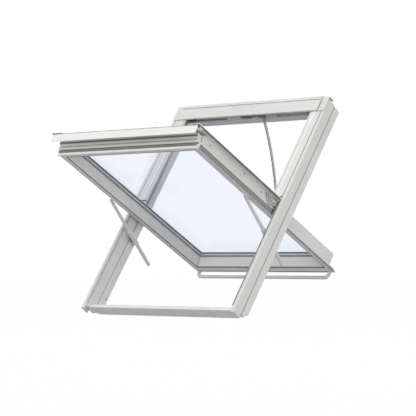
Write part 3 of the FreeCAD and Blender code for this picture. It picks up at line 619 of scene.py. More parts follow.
@dataclass
class DressedSolids:
    """The finish of every solid that is shown as it is."""

    finishes: Finishes
    rules: dict[str, tuple[str, ...]] = field(default_factory=lambda: {
        "glass": ("inner_pane", "outer_pane"),
        "spacer": ("glazing_spacer",),
        "pane_gasket": ("glazing_gasket",),
        "band": ("frame_seal",),
        "seal": ("side_seal", "foot_seal"),
        "hinge": ("sash_hinge",),
        "steel": ("chain_bracket", "frame_hinge", "damper_bracket", "studs"),
        "damper": ("damper_tube", "damper_rod"),
        "chain": ("chain",),
        "plastic": ("operator_housing", "operator_cover_plates"),
        "dark": ("top_latch",),
        "bar": ("control_bar",),
        "hood": ("hood",),
        "side": ("side_cladding", "upper_left_cover", "upper_right_cover"),
        "sheet": ("cladding", "cover"),
        "top_rail_shade": ("frame_top_rail",),
        "wood": ("stile", "rail"),
    })

    def finish_of(self, node: str) -> str:
        """Choose a node's finish by the words in its name.

        Args:
            node: the node's name.

        Returns:
            The finish's field name.

        Raises:
            KeyError: no rule has a word of the name.
        """
        for finish, words in self.rules.items():
            if any(word in node for word in words):
                return finish
        raise KeyError(f"no finish for {node}")

    def build(self) -> None:
        """Give every solid its finish."""
        for name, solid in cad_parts.items():
            material = self.finishes.get(self.finish_of(name))
            for place in solid.material_slots:
                place.material = material
            log.info("dressed %s", name)


@dataclass
class Assembly:
    """A group of the scene's own pieces, drawn from the window's sizes in millimetres."""

    sizes: WindowSizes
    finishes: Finishes

    @property
    def fixed(self) -> Lines:
        """Return the lines of the fixed frame."""
        return frame_lines(self.sizes)

    @property
    def sash(self) -> Lines:
        """Return the lines of the turned sash."""
        return sash_lines(self.sizes)

    def piece(self, name: str, mesh: Mesh, finish: str, slot: Slot,
              bend: float = SOFT_BEND) -> Piece:
        """Turn a bmesh into a piece of the window.

        Args:
            name: the piece's name.
            mesh: its shape in the row's frame, in metres.
            finish: the field name of its finish.
            slot: the record's slot that the finish stands for; not used.
            bend: angle in degrees under which edges are shaded smooth.

        Returns:
            The new object, riding on the fixed body.
        """
        bmesh.ops.recalc_face_normals(mesh, faces=mesh.faces)
        data = bpy.data.meshes.new(name)
        for edge in mesh.edges:
            joined = len(edge.link_faces) == 2
            edge.smooth = joined and edge.calc_face_angle(0.0) < math.radians(bend)
        for face in mesh.faces:
            face.smooth = True
        mesh.to_mesh(data)
        mesh.free()
        piece = bpy.data.objects.new(name, data)
        bpy.context.scene.collection.objects.link(piece)
        data.materials.append(self.finishes.get(finish))
        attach(piece, "root")
        log.info("made %s with %d faces", name, len(data.polygons))
        return piece

    def build(self) -> list[Piece]:
        """Return the group's pieces."""
        raise NotImplementedError


@dataclass
class OpeningChain(Assembly):
    """The chain of short links that pushes the head of the sash inwards."""

    pitch: float = 15.0
    plate_width: float = 12.0
    plate_gauge: float = 1.8
    half_width: float = 5.4
    pin_radius: float = 2.6
    pin_stand: float = 0.6
    pin_faces: int = 10

    def route(self) -> list[Vector]:
        """Lay the chain out along its arc from the head to the sash.

        Returns:
            The places of the pins.
        """
        size = self.sizes
        start = self.fixed.point(size.chain_place, size.head_edge, -size.chain_start)
        end = self.sash.point(size.chain_place, size.hook_rise, -size.hook_depth)
        chord = end - start
        length = chord.length
        sag = size.chain_sag * MM
        radius = length * length / (8 * sag) + sag / 2
        along = chord.normalized()
        inward = along.cross(ACROSS).normalized()
        if inward.dot(self.fixed.point(0, 0, 0) - start) > 0:
            inward = -inward
        centre = (start + end) / 2 - inward * (radius - sag)
        half = math.asin(length / 2 / radius)
        count = round(2 * half * radius / (self.pitch * MM))
        turns = [-half + 2 * half * k / count for k in range(count + 1)]
        return [centre + radius * (math.cos(turn) * inward + math.sin(turn) * along)
                for turn in turns]

    def build(self) -> list[Piece]:
        """Make the chain.

        Returns:
            One piece of plates and pins.
        """
        mesh = bmesh.new()
        pins = self.route()
        for k, (first, second) in enumerate(zip(pins, pins[1:])):
            along = (second - first).normalized()
            turn = Matrix((along, ACROSS.cross(along), ACROSS)).transposed().to_4x4()
            place = Matrix.Translation((first + second) / 2) @ turn
            outline = stadium((second - first).length, self.plate_width * MM)
            shift = self.half_width - (self.plate_gauge if k % 2 else 0.0)
            for side in Side:
                faces = reach(side, (shift - self.plate_gauge) * MM, shift * MM)
                add_prism(mesh, place, outline, *faces)
        half = (self.half_width + self.pin_stand) * MM
        profile = [(self.pin_radius * MM, -half), (self.pin_radius * MM, half)]
        for pin in pins:
            place = Matrix.Translation(pin) @ Matrix.Rotation(math.radians(90), 4, "Y")
            add_disc(mesh, place, profile, self.pin_faces)
        piece = self.piece("opening_chain", mesh, "chain", Slot.CHAIN)
        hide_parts("chain")
        return [piece]


@dataclass
class Fasteners(Assembly):
    """Screw heads on the sash's side faces, dark in the shadow-line finish as painted shade of
    their recesses.
    """

    head: float = 4.2
    profile: Outline = ((1.0, 0.0), (1.0, 0.6), (0.8, 1.4), (0.35, 1.7), (0.3, 0.8))
    places: Outline = (
        (-660.0, -38.0), (-654.0, -49.0), (-589.0, -32.0), (-293.0, -20.0), (-134.0, -34.0))

    def build(self) -> list[Piece]:
        """Put the screws in.

        Returns:
            All screw heads as one piece.
        """
        mesh = bmesh.new()
        turn = Matrix.Rotation(math.radians(self.sizes.sash_angle), 4, "X")
        profile = [(share * self.head * MM, height * MM) for share, height in self.profile]
        for side in Side:
            facing = Matrix.Rotation(math.radians(90 * side.value), 4, "Y")
            for rise, out in self.places:
                spot = self.sash.point(side.value * self.sizes.sash_half, rise, out)
                add_disc(mesh, Matrix.Translation(spot) @ turn @ facing, profile)
        # painted shade: the screw heads take the dark shadow-line finish
        return [self.piece("sash_screws", mesh, "shade", Slot.STEEL)]


@dataclass
class RibbedSeals(Assembly):
    """The ribbed rubber along the lower half of the sash's sides, and the one across its foot."""

    run: Pair = (-650.0, -12.0)
    levels: Pair = (-91.0, -66.0)
    web: float = 1.1
    stand: float = 3.0
    bite: float = 0.2
    lip: float = 1.2
    lip_drop: float = 0.4
    pitch: float = 13.0
    rib: float = 6.6
    rib_start: float = 1.0
    rib_slant: float = 0.7
    rib_inset: float = 2.0
    foot_inset: float = 0.5
    foot_web: Box = (-666.5, -664.0, -75.8, -66.4)
    foot_root: float = -666.3
    foot_tip: float = -672.0
    foot_lips: int = 3
    foot_lip_top: float = -66.4
    foot_lip_drops: Box = (0.0, 0.5, 1.7, 2.5)
    foot_lip_pitch: float = 3.2
    foot_lip_growth: float = 1.6
    flap: Outline = ((-676.1, -77.6), (-677.4, -78.4), (-678.0, -79.8),
                     (-677.8, -85.2), (-676.6, -86.4), (-674.6, -86.0))

    def strip(self, side: Side) -> Piece:
        """Make one side's strip.

        Args:
            side: the side it is on.

        Returns:
            A web with a lip along each edge.
        """
        mesh = bmesh.new()
        place = self.sash.flat()
        face = self.sizes.sash_half
        bottom, top = self.levels
        web = rectangle(0.0, self.web, *self.run)
        lip = rectangle(self.web - self.bite, self.stand - self.lip_drop, *self.run)
        add_prism(mesh, place, mirrored(side, web, face), bottom, top)
        for low in (bottom, top - self.lip):
            add_prism(mesh, place, mirrored(side, lip, face), low, low + self.lip)
        # the web takes the darker seal rubber: painted shade between the ribs
        piece = self.piece(f"{side.name.lower()}_ribbed_seal", mesh, "seal", Slot.SEAL)
        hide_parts(f"{side.name.lower()}_side_seal")
        return piece

    def ribs(self, side: Side) -> Piece:
        """Make the ribs across one side's strip.

        Args:
            side: the side they are on.

        Returns:
            All ribs of the side.
        """
        mesh = bmesh.new()
        place = self.sash.flat()
        bottom, top = self.levels
        low, high = self.run
        root, crown = self.web - self.bite, self.stand
        for k in range(int((high - low) / self.pitch)):
            start = low + k * self.pitch + self.rib_start
            end = start + self.rib
            outline = [(root, start), (crown, start + self.rib_slant),
                       (crown, end - self.rib_slant), (root, end)]
            add_prism(mesh, place, mirrored(side, outline, self.sizes.sash_half),
                      bottom + self.rib_inset, top - self.rib_inset)
        # the ribs take the lighter rubber: painted light on their faces
        return self.piece(f"{side.name.lower()}_seal_ribs", mesh, "rib", Slot.SEAL)

    def foot(self) -> Piece:
        """Make the foot's strip.

        Returns:
            A web in its groove, its lips and a flap over the toe.
        """
        mesh = bmesh.new()
        half = self.sizes.sash_half - self.foot_inset
        outlines = [rectangle(*self.foot_web), self.flap]
        for k in range(self.foot_lips):
            top = self.foot_lip_top - self.foot_lip_pitch * k
            tip = self.foot_tip - self.foot_lip_growth * k
            rises = (self.foot_root, tip, tip, self.foot_root)
            outlines.append([(rise, top - drop) for rise, drop in zip(rises, self.foot_lip_drops)])
        for outline in outlines:
            add_prism(mesh, self.sash.across(), outline, -half, half)
        piece = self.piece("foot_lip_seal", mesh, "seal", Slot.SEAL)
        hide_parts("sash_foot_seal")
        return piece

    def build(self) -> list[Piece]:
        """Return the strips and their ribs."""
        return [make(side) for side in Side for make in (self.strip, self.ribs)] + [self.foot()]


@dataclass
class SashTrim(Assembly):
    """Mouldings, dark lines and strips on the sash, and the lip round the glass."""

    overlap: float = 0.2
    bite: float = 0.4
    quirk: float = 8.0
    floor_stand: float = 0.35
    floor_depth: float = 0.6
    head_step: float = 6.0
    moulding: float = 2.8
    mould_side: float = 504.0
    mould_foot: float = 672.0
    mould_head: float = 590.0
    side_groove: float = 5.0
    head_groove: float = 8.0
    foot_cover: float = 4.0
    strip_foot: float = -650.0
    corner_line: float = 1.5
    corner_faces: int = 8
    seat_line: Pair = (0.6, -2.4)
    seat_levels: Pair = (-1.6, 1.0)
    shadow: Outline = ((-691.6, -33.0), (-693.2, -33.2), (-690.2, -40.6), (-688.6, -40.4))
    cover_line: Box = (-735.5, -733.8, -5.4, -3.0)
    cover_line_half: float = 539.6
    toe: Outline = ((-650.0, -91.2), (-656.0, -91.2), (-668.0, -86.2), (-673.4, -87.0),
                    (-674.0, -88.0), (-674.0, -99.6), (-672.8, -101.0), (-664.6, -101.0),
                    (-663.4, -99.8), (-662.6, -94.8), (-650.0, -94.8))
    nose: Outline = ((-682.0, -58.5), (-685.4, -61.0), (-686.0, -62.2), (-686.0, -71.6),
                     (-685.2, -72.8), (-680.0, -74.0), (-678.6, -66.4), (-677.4, -65.6))
    lip_inset: float = 15.7
    lip_width: float = 1.6
    lip_levels: Pair = (-16.0, -12.6)
    # painted shade: a dark strip under each lower cover's lip, a grey strip on each cover's
    # underside, and a dark packing strip below the covers beside the hinge
    edge_strip: Box = (-3.0, 0.8, -5.6, -0.8)
    underside_shade: Box = (-16.0, -3.2, -4.2, -1.9)
    bead: Outline = ((-3.4, -0.6), (0.9, -0.7), (1.3, 1.0), (1.0, 3.4), (-0.4, 4.7),
                     (-2.2, 4.7), (-3.4, 3.4))
    face_line: Box = (-0.2, 0.8, -94.0, -88.6)
    packing: Box = (0.0, 3.0, -15.0, -12.4)
    cover_run: Pair = (-740.5, -14.0)
    underside_shade_run: Pair = (-720.0, -14.0)
    face_line_run: Pair = (24.0, 598.0)
    packing_run: Pair = (-108.0, -6.0)

    def reveal(self, grow: float) -> Outline:
        """Return the loop of the reveal's edge in the room face, grown all round."""
        size = self.sizes
        return loop(size.sash_inner, size.reveal_foot, size.sash_head + self.head_step, grow)

    def add_corner_lines(self, mesh: Mesh) -> None:
        """Add the dark joint lines in the slanted corners of the reveal.

        Args:
            mesh: the bmesh that receives them.
        """
        size = self.sizes
        for side in Side:
            for edge, seat in ((size.sash_head, size.seat_head),
                               (-size.reveal_foot, -size.seat_foot)):
                start = Vector((side.value * size.sash_inner, edge, -size.sash_face))
                end = Vector((side.value * size.seat_side, seat, -size.glass_seat))
                turn = (end - start).to_track_quat("Z", "Y").to_matrix().to_4x4()
                profile = [(self.corner_line, 0.0), (self.corner_line, (end - start).length)]
                add_disc(mesh, self.sash.flat() @ Matrix.Translation(start) @ turn, profile,
                         self.corner_faces)

    def quirks(self) -> Piece:
        """Make the dark lines of the sash: painted shade on the floors of the room face's grooves
        and under the foot's lip, the lines round the glass seat and along the bottom cover's top
        edge, and the joint lines in the reveal's corners.

        Returns:
            All of them as one piece.
        """
        mesh = bmesh.new()
        size = self.sizes
        flat, across = self.sash.flat(), self.sash.across()
        levels = (-size.sash_face - self.floor_stand, -size.sash_face + self.floor_depth)
        # painted shade on the grooves' floors, in the shadow-line finish
        add_ring(mesh, flat, self.reveal(self.quirk + self.overlap), self.reveal(-self.bite),
                 levels)
        add_ring(mesh, flat,
                 loop(self.mould_side + self.side_groove + self.overlap, self.mould_foot,
                      self.mould_head + self.head_groove + self.overlap),
                 loop(self.mould_side - self.overlap, self.mould_foot - self.foot_cover,
                      self.mould_head - self.overlap), levels)
        self.add_corner_lines(mesh)
        outer, inner = (loop(size.seat_side, size.seat_foot, size.seat_head, grow)
                        for grow in self.seat_line)
        add_ring(mesh, flat, outer, inner, around(-size.glass_seat, self.seat_levels))
        add_prism(mesh, across, self.shadow, -size.sash_half, size.sash_half)
        add_prism(mesh, across, rectangle(*self.cover_line), -self.cover_line_half,
                  self.cover_line_half)
        return self.piece("sash_quirks", mesh, "shade", Slot.WOOD)

    def mouldings(self) -> Piece:
        """Make the raised mouldings of the room face.

        Returns:
            The ring round the reveal and the strips along the outer edges.
        """
        mesh = bmesh.new()
        size = self.sizes
        place = self.sash.flat()
        levels = (-size.sash_face - self.moulding, -size.sash_face + self.bite)
        add_ring(mesh, place, loop(self.mould_side, self.mould_foot, self.mould_head),
                 self.reveal(self.quirk), levels)
        outer = self.mould_side + self.side_groove
        strip = rectangle(outer, size.sash_half, self.strip_foot, size.sash_top)
        add_strips(mesh, place, 0.0, strip, levels)
        strip = rectangle(-outer, outer, self.mould_head + self.head_groove, size.sash_top)
        add_prism(mesh, place, strip, *levels)
        return self.piece("room_face_mouldings", mesh, "wood", Slot.WOOD, FLAT_BEND)

    def noses(self) -> Piece:
        """Make the noses of the foot.

        Returns:
            The toe under the room face and the nose below the foot's groove.
        """
        mesh = bmesh.new()
        half = self.sizes.sash_half - self.bite
        for outline in (self.toe, self.nose):
            add_prism(mesh, self.sash.across(), outline, -half, half)
        return self.piece("foot_noses", mesh, "sheet", Slot.WOOD, FLAT_BEND)

    def glass_lip(self) -> Piece:
        """Make the dark lip that the cladding's bead presses on the outer pane.

        Returns:
            The lip all round the glass.
        """
        mesh = bmesh.new()
        size = self.sizes
        outer, inner = (loop(size.glass_half, size.glass_low, size.glass_high, -inset)
                        for inset in (self.lip_inset, self.lip_inset + self.lip_width))
        add_ring(mesh, self.sash.flat(), outer, inner, self.lip_levels)
        return self.piece("outer_glass_lip", mesh, "lip", Slot.GASKET)

    def strips(self) -> list[Piece]:
        """Make the long strips of the lower covers and of the sash's side faces.

        Returns:
            The dark strips, painted shade under the covers' edges and beside the hinge with a line
            along the upper side faces, the grey painted shade on the covers' undersides, and the
            rolled edges.
        """
        edge, face = self.sizes.cover_outer, self.sizes.sash_half
        dark, underside_shade, rolled = bmesh.new(), bmesh.new(), bmesh.new()
        # painted shade: dark and grey strips under the covers
        for mesh, start, outline, run in (
                (dark, edge, rectangle(*self.edge_strip), self.cover_run),
                (dark, face, rectangle(*self.face_line), self.face_line_run),
                (dark, face, rectangle(*self.packing), self.packing_run),
                (underside_shade, edge, rectangle(*self.underside_shade), self.underside_shade_run),
                (rolled, edge, self.bead, self.cover_run)):
            add_strips(mesh, self.sash.along(), start, outline, run)
        return [self.piece("cover_strips", dark, "gasket", Slot.GASKET),
                self.piece("cover_underside_shades", underside_shade, "band", Slot.SEAL),
                self.piece("cover_edge_beads", rolled, "sheet", Slot.SHEET, ROLLED_BEND)]

    def build(self) -> list[Piece]:
        """Return the trim."""
        return [self.quirks(), self.mouldings(), self.noses(), self.glass_lip(), *self.strips()]


@dataclass
class HingeFittings(Assembly):
    """The dark tracks, stops and bearing blocks of the pivot hinges."""

    centre: Pair = (-25.0, 20.0)
    radii: tuple[float, ...] = (57.0, 70.0, 83.0)
    half_track: float = 2.4
    track_stand: float = 0.8
    track_step: int = 3
    plate_run: Pair = (-110.0, 15.0)
    plate_levels: Pair = (-58.0, -17.0)
    taper_top: float = -15.0
    taper_width: float = 40.0
    taper_height: float = 45.0
    stop_spot: Pair = (-12.0, -51.0)
    stop_radius: float = 5.6
    rivets: Outline = ((-100.0, -22.0), (-84.0, -22.0), (-24.0, -38.0))
    rivet_radius: float = 3.2
    rivet_stand: float = 1.4
    stop: Box = (-13.0, -5.0, -91.5, -57.0)
    stop_stand: float = 3.4
    slot: Box = (69.4, 117.6, -39.8, -35.2)
    slot_depths: Pair = (-2.4, -1.0)
    bars: tuple[Box, ...] = ((-20.0, -15.5, -41.0, -14.0), (-11.5, -7.0, -41.0, -14.0),
                             (-15.6, -11.4, -18.0, -14.0), (-15.6, -11.4, -41.0, -37.0))
    bar_stand: float = 4.0

    def on_plate(self, rise: float, out: float) -> bool:
        """Tell whether a point lies on the tracked plate.

        Args:
            rise: its distance up the slope.
            out: its distance out of the outer plane.

        Returns:
            Whether it is clear of the plate's edges and of its slanted end.
        """
        low, high = self.plate_run
        floor, top = self.plate_levels
        slant = low + self.taper_width * (self.taper_top - out) / self.taper_height
        return max(low, slant) < rise < high and floor < out < top

    def on_track(self, radius: float, turn: float) -> Pair:
        """Return the point at a radius and an angle round the tracks' centre."""
        return (self.centre[0] + radius * math.cos(turn), self.centre[1] + radius * math.sin(turn))

    def track(self, radius: float) -> Outline:
        """Draw one curved track's floor.

        Args:
            radius: the radius of the track's middle line.

        Returns:
            Points in rise and out, all round the band.
        """
        turns = [math.radians(step) for step in range(180, 361, self.track_step)]
        turns = [turn for turn in turns if self.on_plate(*self.on_track(radius, turn))]
        return ([self.on_track(radius + self.half_track, turn) for turn in turns]
                + [self.on_track(radius - self.half_track, turn) for turn in turns[::-1]])

    def shades(self, side: Side) -> Piece:
        """Make one hinge's dark parts.

        Args:
            side: the side it is on.

        Returns:
            Track floors, rivets, stop and the slot on the frame.
        """
        mesh = bmesh.new()
        size = self.sizes
        floor = size.sash_half + size.hinge_plate / 2
        plate = size.sash_half + size.hinge_plate
        forms = [(self.track(radius), floor, self.track_stand) for radius in self.radii]
        forms.append((circle(self.stop_spot, self.stop_radius), plate, self.rivet_stand))
        forms += [(circle(rivet, self.rivet_radius), plate, self.rivet_stand)
                  for rivet in self.rivets]
        forms.append((rectangle(*self.stop), size.sash_half, self.stop_stand))
        for outline, start, stand in forms:
            add_prism(mesh, self.sash.across(), outline, *reach(side, start, start + stand))
        add_prism(mesh, self.fixed.across(), rectangle(*self.slot),
                  *reach(side, *around(size.wall_face, self.slot_depths)))
        return self.piece(f"{side.name.lower()}_hinge_shades", mesh, "gasket", Slot.GASKET)

    def block(self, side: Side) -> Piece:
        """Make one hinge's bearing block.

        Args:
            side: the side it is on.

        Returns:
            A moulded plate with a slot.
        """
        mesh = bmesh.new()
        plate = self.sizes.sash_half + self.sizes.hinge_plate
        for bar in self.bars:
            add_prism(mesh, self.sash.across(), rectangle(*bar),
                      *reach(side, plate, plate + self.bar_stand))
        return self.piece(f"{side.name.lower()}_bearing_block", mesh, "damper", Slot.PLASTIC)

    def build(self) -> list[Piece]:
        """Return both hinges' fittings."""
        return [make(side) for side in Side for make in (self.shades, self.block)]


@dataclass
class FrameTrim(Assembly):
    """Lips, thin lines, folds and dark blocks in the covers' open ends, mostly on the fixed frame.
    """

    lip_line: Box = (1.2, 2.4, -6.4, -3.0)
    lip: Outline = ((-0.2, -12.4), (15.5, -12.4), (15.5, -8.0), (1.4, -8.0), (1.4, -3.4),
                    (-0.2, -3.4))
    crease: Box = (-2.2, 0.4, -0.4, 0.4)
    fold_line: Box = (-0.4, 1.4, -0.4, 0.4)
    fold: Outline = ((0.0, -0.4), (0.0, 1.2), (0.8, 1.8), (21.0, 1.8), (24.0, 0.4), (24.0, -0.4))
    cover_edge: Box = (-4.0, 0.6, -1.4, 0.4)
    groove: Box = (-6.4, -1.4, -60.5, -53.8)
    opening_run: Pair = (-656.0, 26.0)
    crease_run: Pair = (31.0, 594.0)
    fold_run: Pair = (30.4, 595.0)
    cover_edge_run: Pair = (30.5, 595.0)
    stile_run: Pair = (-676.0, 666.0)
    plug_spot: Pair = (-578.0, -96.0)
    plug_radius: float = 4.1
    plug_faces: int = 20
    plug_depths: Pair = (-0.6, 1.0)
    upper_hollow_shade: Box = (476.0, 545.0, -11.0, -1.8)
    upper_hollow_shade_run: Pair = (31.0, 38.0)
    lower_hollow_shade: Box = (506.0, 541.0, -13.0, -1.8)
    lower_hollow_shade_run: Pair = (-729.0, -722.0)

    def seams(self) -> list[Piece]:
        """Make the lips beside the opening, the lines of covers and cladding, and the plugs.

        Returns:
            The grey and the dark lines, painted shade beside the upstands, along the covers' folds
            and outer edges and in the cladding's groove, the dark plugs of the bush holes, and the
            pale lips.
        """
        size = self.sizes
        grey, dark, pale = bmesh.new(), bmesh.new(), bmesh.new()
        # painted shade: dark and grey strips stand for the shade beside the upstands, at the
        # folds' edges, along the covers' outer edges and in the cladding's groove
        for mesh, edge, outline, run in (
                (dark, size.wall_face, rectangle(*self.lip_line), self.opening_run),
                (dark, size.rib_inner, rectangle(*self.crease), self.crease_run),
                (grey, size.rib_outer, rectangle(*self.fold_line), self.crease_run),
                (grey, size.cover_outer, rectangle(*self.cover_edge), self.cover_edge_run),
                (grey, size.half_width, rectangle(*self.groove), self.stile_run),
                (pale, size.wall_face, self.lip, self.opening_run)):
            add_strips(mesh, self.fixed.along(), edge, outline, run)
        plug = circle(self.plug_spot, self.plug_radius, self.plug_faces)
        for side in Side:
            add_prism(dark, self.fixed.across(), plug,
                      *reach(side, *around(size.stile_face, self.plug_depths)))
        return [self.piece("frame_grey_shade_lines", grey, "band", Slot.SEAL),
                self.piece("frame_shade_lines", dark, "shade", Slot.WOOD),
                self.piece("weather_lips", pale, "side", Slot.SHEET)]

    def folds(self) -> Piece:
        """Make the flat raised folds of the upper covers.

        Returns:
            The folds along the covers' inner parts.
        """
        mesh = bmesh.new()
        add_strips(mesh, self.fixed.along(), self.sizes.rib_inner, self.fold, self.fold_run)
        return self.piece("upper_cover_folds", mesh, "sheet", Slot.SHEET, FLAT_BEND)

    def hollow_shades(self) -> Piece:
        """Make the dark blocks inside the open ends of the covers, painted shade of their hollows.

        Returns:
            The blocks of the upper and the lower covers.
        """
        mesh = bmesh.new()
        # painted shade: dark blocks where the covers' hollow ends fall into shade
        upper, lower = rectangle(*self.upper_hollow_shade), rectangle(*self.lower_hollow_shade)
        add_strips(mesh, self.fixed.along(), 0.0, upper, self.upper_hollow_shade_run)
        add_strips(mesh, self.sash.along(), 0.0, lower, self.lower_hollow_shade_run)
        return self.piece("end_hollow_shades", mesh, "gasket", Slot.GASKET)

    def build(self) -> list[Piece]:
        """Return the frame's trim."""
        return [*self.seams(), self.folds(), self.hollow_shades()]


@dataclass
class OperatorWorks(Assembly):
    """The dark gear parts between the operator's cover plates, and the painted shade of the slot
    beside it.
    """

    gear_run: Pair = (625.0, 636.0)
    gears: tuple[Box, ...] = (
        (-88.0, -62.0, -50.0, -38.0), (-60.0, -34.0, -58.0, -36.0), (-30.0, -8.0, -47.0, -37.0),
        (2.0, 26.0, -50.0, -38.0), (32.0, 58.0, -58.0, -40.0), (88.0, 98.0, -56.0, -40.0))
    slot: Box = (-474.0, -223.0, 638.3, 642.9)
    slot_levels: Pair = (-67.2, -66.3)

    def works(self) -> Piece:
        """Make the gear parts.

        Returns:
            Blocks that stand between the head's bottom and the cover plates.
        """
        mesh = bmesh.new()
        for left, right, low, high in self.gears:
            add_prism(mesh, self.fixed.flat(), rectangle(left, right, *self.gear_run), low, high)
        return self.piece("operator_works", mesh, "dark", Slot.PLASTIC)

    def head_slot_shade(self) -> Piece:
        """Make the painted shade of the slot beside the operator.

        Returns:
            Its long dark line of painted shade, lying on the head's rebate.
        """
        mesh = bmesh.new()
        # painted shade: a flat dark strip where the slot's shade falls
        add_prism(mesh, self.fixed.flat(), rectangle(*self.slot), *self.slot_levels)
        return self.piece("head_slot_shade", mesh, "shade", Slot.WOOD)

    def build(self) -> list[Piece]:
        """Return the operator's small parts."""
        return [self.works(), self.head_slot_shade()]


@dataclass
class DamperFittings(Assembly):
    """Rings, ball clips and bracket knobs of the gas dampers."""

    across: float = 502.0
    trunnion: Pair = (-190.0, -60.0)
    ball: Pair = (-113.04, 201.63)
    ring_faces: int = 28
    collar_foot: Outline = ((13.0, -42.0), (15.2, -40.5), (15.2, -36.5), (14.0, -35.0))
    collar_head: Outline = ((14.0, 35.0), (14.6, 36.0), (14.6, 44.0), (12.0, 50.0), (9.4, 53.0))
    barrel_foot: Outline = ((3.0, -198.0), (7.5, -196.6), (9.6, -193.6), (10.0, -190.0))
    knob: Outline = ((9.0, -1.0), (9.0, 7.0), (7.6, 9.0), (3.0, 9.4))
    knob_spot: Triple = (513.0, -207.0, -88.0)
    clip_faces: int = 24
    low_clip: Outline = ((7.6, 252.0), (8.6, 252.6), (8.6, 254.8), (7.6, 255.4))
    high_clip: Outline = ((7.4, 268.0), (8.2, 269.0), (7.6, 273.5), (4.0, 276.0))

    def axis(self, side: Side) -> Matrix:
        """Find a damper's axis.

        Args:
            side: the side it is on.

        Returns:
            The place, in millimetres, whose local Z runs from its trunnion to its ball.
        """
        foot = self.fixed.point(side.value * self.across, *self.trunnion)
        tip = self.fixed.point(side.value * self.across, *self.ball)
        turn = (tip - foot).to_track_quat("Z", "Y").to_matrix().to_4x4()
        return Matrix.Translation(foot) @ turn @ Matrix.Diagonal((MM, MM, MM, 1.0))

    def rings(self) -> Piece:
        """Make the lacquered rings.

        Returns:
            The collars' end rings, the barrels' rounded feet and the bracket knobs.
        """
        mesh = bmesh.new()
        across, rise, out = self.knob_spot
        for side in Side:
            for profile in (self.collar_foot, self.collar_head, self.barrel_foot):
                add_disc(mesh, self.axis(side), profile, self.ring_faces)
            turn = Matrix.Rotation(math.radians(-90 * side.value), 4, "Y")
            spot = Matrix.Translation((side.value * across, rise, out))
            add_disc(mesh, self.fixed.flat() @ spot @ turn, self.knob, self.clip_faces)
        return self.piece("damper_rings", mesh, "damper", Slot.DAMPER)

    def clips(self) -> Piece:
        """Make the grey spring clips.

        Returns:
            The clips round the ball sockets.
        """
        mesh = bmesh.new()
        for side in Side:
            for profile in (self.low_clip, self.high_clip):
                add_disc(mesh, self.axis(side), profile, self.clip_faces)
        return self.piece("ball_clips", mesh, "plastic", Slot.STEEL)

    def build(self) -> list[Piece]:
        """Return the dampers' small parts."""
        return [self.rings(), self.clips()]


@dataclass
class CoverEnds(Assembly):
    """Small dark clips on the ends of the lower covers, painted shade of the covers' ends, and the
    light tabs behind them.
    """

    clips: tuple[Box, ...] = ((538.0, 547.6, -4.0, -0.2), (506.0, 520.0, -3.4, -0.2))
    end_shade_run: Pair = (-740.8, -738.0)
    tab: Outline = ((517.0, -12.5), (523.0, -15.0), (541.5, -5.0), (541.5, -1.8), (517.0, -1.8))
    tab_run: Pair = (-722.2, -694.0)

    def build(self) -> list[Piece]:
        """Make the small parts of the covers' ends.

        Returns:
            The dark clips, painted shade, and the tabs.
        """
        clips, tabs = bmesh.new(), bmesh.new()
        place = self.sash.along()
        # painted shade: the dark shadow-line clips stand for the shade on the covers' ends
        for clip in self.clips:
            add_strips(clips, place, 0.0, rectangle(*clip), self.end_shade_run)
        add_strips(tabs, place, 0.0, self.tab, self.tab_run)
        return [self.piece("cover_end_shades", clips, "shade", Slot.SHEET),
                self.piece("cover_end_tabs", tabs, "sheet", Slot.SHEET)]


# Studio and camera


@dataclass(frozen=True)
class Lamp:
    """A soft square lamp."""

    name: str
    place: Triple
    size: float
    power: float

    def build(self, target: Vector) -> None:
        """Hang the lamp.

        Args:
            target: the point that it is aimed at.
        """
        data = bpy.data.lights.new(self.name, "AREA")
        data.size = self.size
        data.energy = self.power
        lamp = bpy.data.objects.new(self.name, data)
        bpy.context.scene.collection.objects.link(lamp)
        lamp.location = self.place
        aim = target - Vector(self.place)
        lamp.rotation_euler = aim.to_track_quat("-Z", "Y").to_euler()


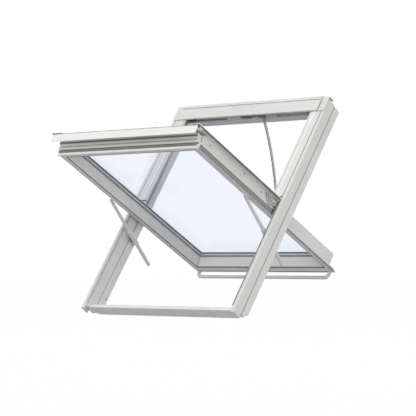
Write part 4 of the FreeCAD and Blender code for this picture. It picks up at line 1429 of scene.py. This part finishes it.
@dataclass
class Studio:
    """A white room: floor, ambient light and soft lamps."""

    floor_drop: float = 0.06
    floor_size: float = 60.0
    floor_colour: Triple = (0.46, 0.46, 0.465)
    floor_grain: float = 3.0
    floor_rough: Pair = (0.85, 0.95)
    floor_white: float = 0.98
    ambient: float = 0.58
    target: Triple = (0.0, 0.5, 0.55)
    lamps: tuple[Lamp, ...] = (
        Lamp("key", (1.4, -3.0, 5.2), 2.5, 125.0),
        Lamp("side", (5.5, -1.5, 1.2), 3.0, 70.0),
        Lamp("fill", (-4.5, -2.5, 1.6), 3.0, 32.0))

    def white_share(self, graph: Graph) -> Socket:
        """Tell plain white rays from those that light the window.

        Args:
            graph: the tree that receives the nodes.

        Returns:
            1 for rays from the camera, from mirrors and through glass.
        """
        path = graph.add("LightPath").outputs
        seen = graph.math("MAXIMUM", path["Is Camera Ray"], path["Is Glossy Ray"])
        return graph.math("MAXIMUM", seen, path["Is Transmission Ray"])

    def floor_finish(self) -> bpy.types.Material:
        """Make the floor's finish, white to the camera with a faint shadow.

        Returns:
            The node material.
        """
        graph = Graph.of_material("studio_floor")
        rough = graph.ramp(graph.noise(self.floor_grain), NOISE_SPAN, self.floor_rough)
        matte = graph.add("BsdfPrincipled", Base_Color=rgba(self.floor_colour), Roughness=rough)
        glow = graph.add("Emission", Color=rgba(WHITE), Strength=1.0)
        share = graph.math("MULTIPLY", self.white_share(graph), self.floor_white)
        return graph.surface(graph.blend(share, matte, glow))

    def floor(self) -> Piece:
        """Lay the floor.

        Returns:
            One wide face under the window.
        """
        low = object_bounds()[0][2] - self.floor_drop
        half = self.floor_size / 2
        mesh = bmesh.new()
        mesh.faces.new(add_points(mesh, Matrix(), rectangle(-half, half, -half, half), low))
        data = bpy.data.meshes.new("floor")
        mesh.to_mesh(data)
        mesh.free()
        floor = bpy.data.objects.new("floor", data)
        bpy.context.scene.collection.objects.link(floor)
        data.materials.append(self.floor_finish())
        floor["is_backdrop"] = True
        return floor

    def world(self) -> None:
        """Set the ambient light, white to the camera."""
        graph = Graph(bpy.data.worlds.new("studio"), "OutputWorld")
        level = graph.ramp(self.white_share(graph), (0.0, 1.0), (self.ambient, 1.0))
        glow = graph.add("Background", Color=rgba(WHITE), Strength=level)
        bpy.context.scene.world = graph.surface(glow)

    def build(self) -> None:
        """Set up the room."""
        self.floor()
        self.world()
        for lamp in self.lamps:
            lamp.build(Vector(self.target))
        log.info("built the studio")


@dataclass
class Shot:
    """The camera, where the photograph's camera stood."""

    place: Triple = (7.2842, -7.4116, 0.2559)
    heading: float = 43.18
    tilt: float = 1.68
    roll: float = 0.14
    lens: float = 168.07
    sensor: float = 36.0

    def build(self) -> Piece:
        """Set up the scene's camera.

        Returns:
            The camera.
        """
        data = bpy.data.cameras.new("camera")
        data.lens = self.lens
        data.sensor_width = self.sensor
        camera = bpy.data.objects.new("camera", data)
        bpy.context.scene.collection.objects.link(camera)
        turn = (Matrix.Rotation(math.radians(self.heading), 4, "Z")
                @ Matrix.Rotation(math.radians(90 + self.tilt), 4, "X")
                @ Matrix.Rotation(math.radians(self.roll), 4, "Z"))
        camera.matrix_world = Matrix.Translation(self.place) @ turn
        bpy.context.scene.camera = camera
        log.info("placed the camera")
        return camera


def main() -> None:
    """Build every part of the scene in order."""
    logging.basicConfig(level=logging.INFO, format="%(message)s")
    bpy.context.scene.view_settings.view_transform = "Standard"
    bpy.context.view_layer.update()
    sizes = WindowSizes()
    finishes = Finishes()
    Shot().build()
    DressedSolids(finishes).build()
    for assembly in (OpeningChain, Fasteners, RibbedSeals, SashTrim, HingeFittings, FrameTrim,
                     OperatorWorks, DamperFittings, CoverEnds):
        assembly(sizes, finishes).build()
    Studio().build()


if __name__ == "__main__":
    main()
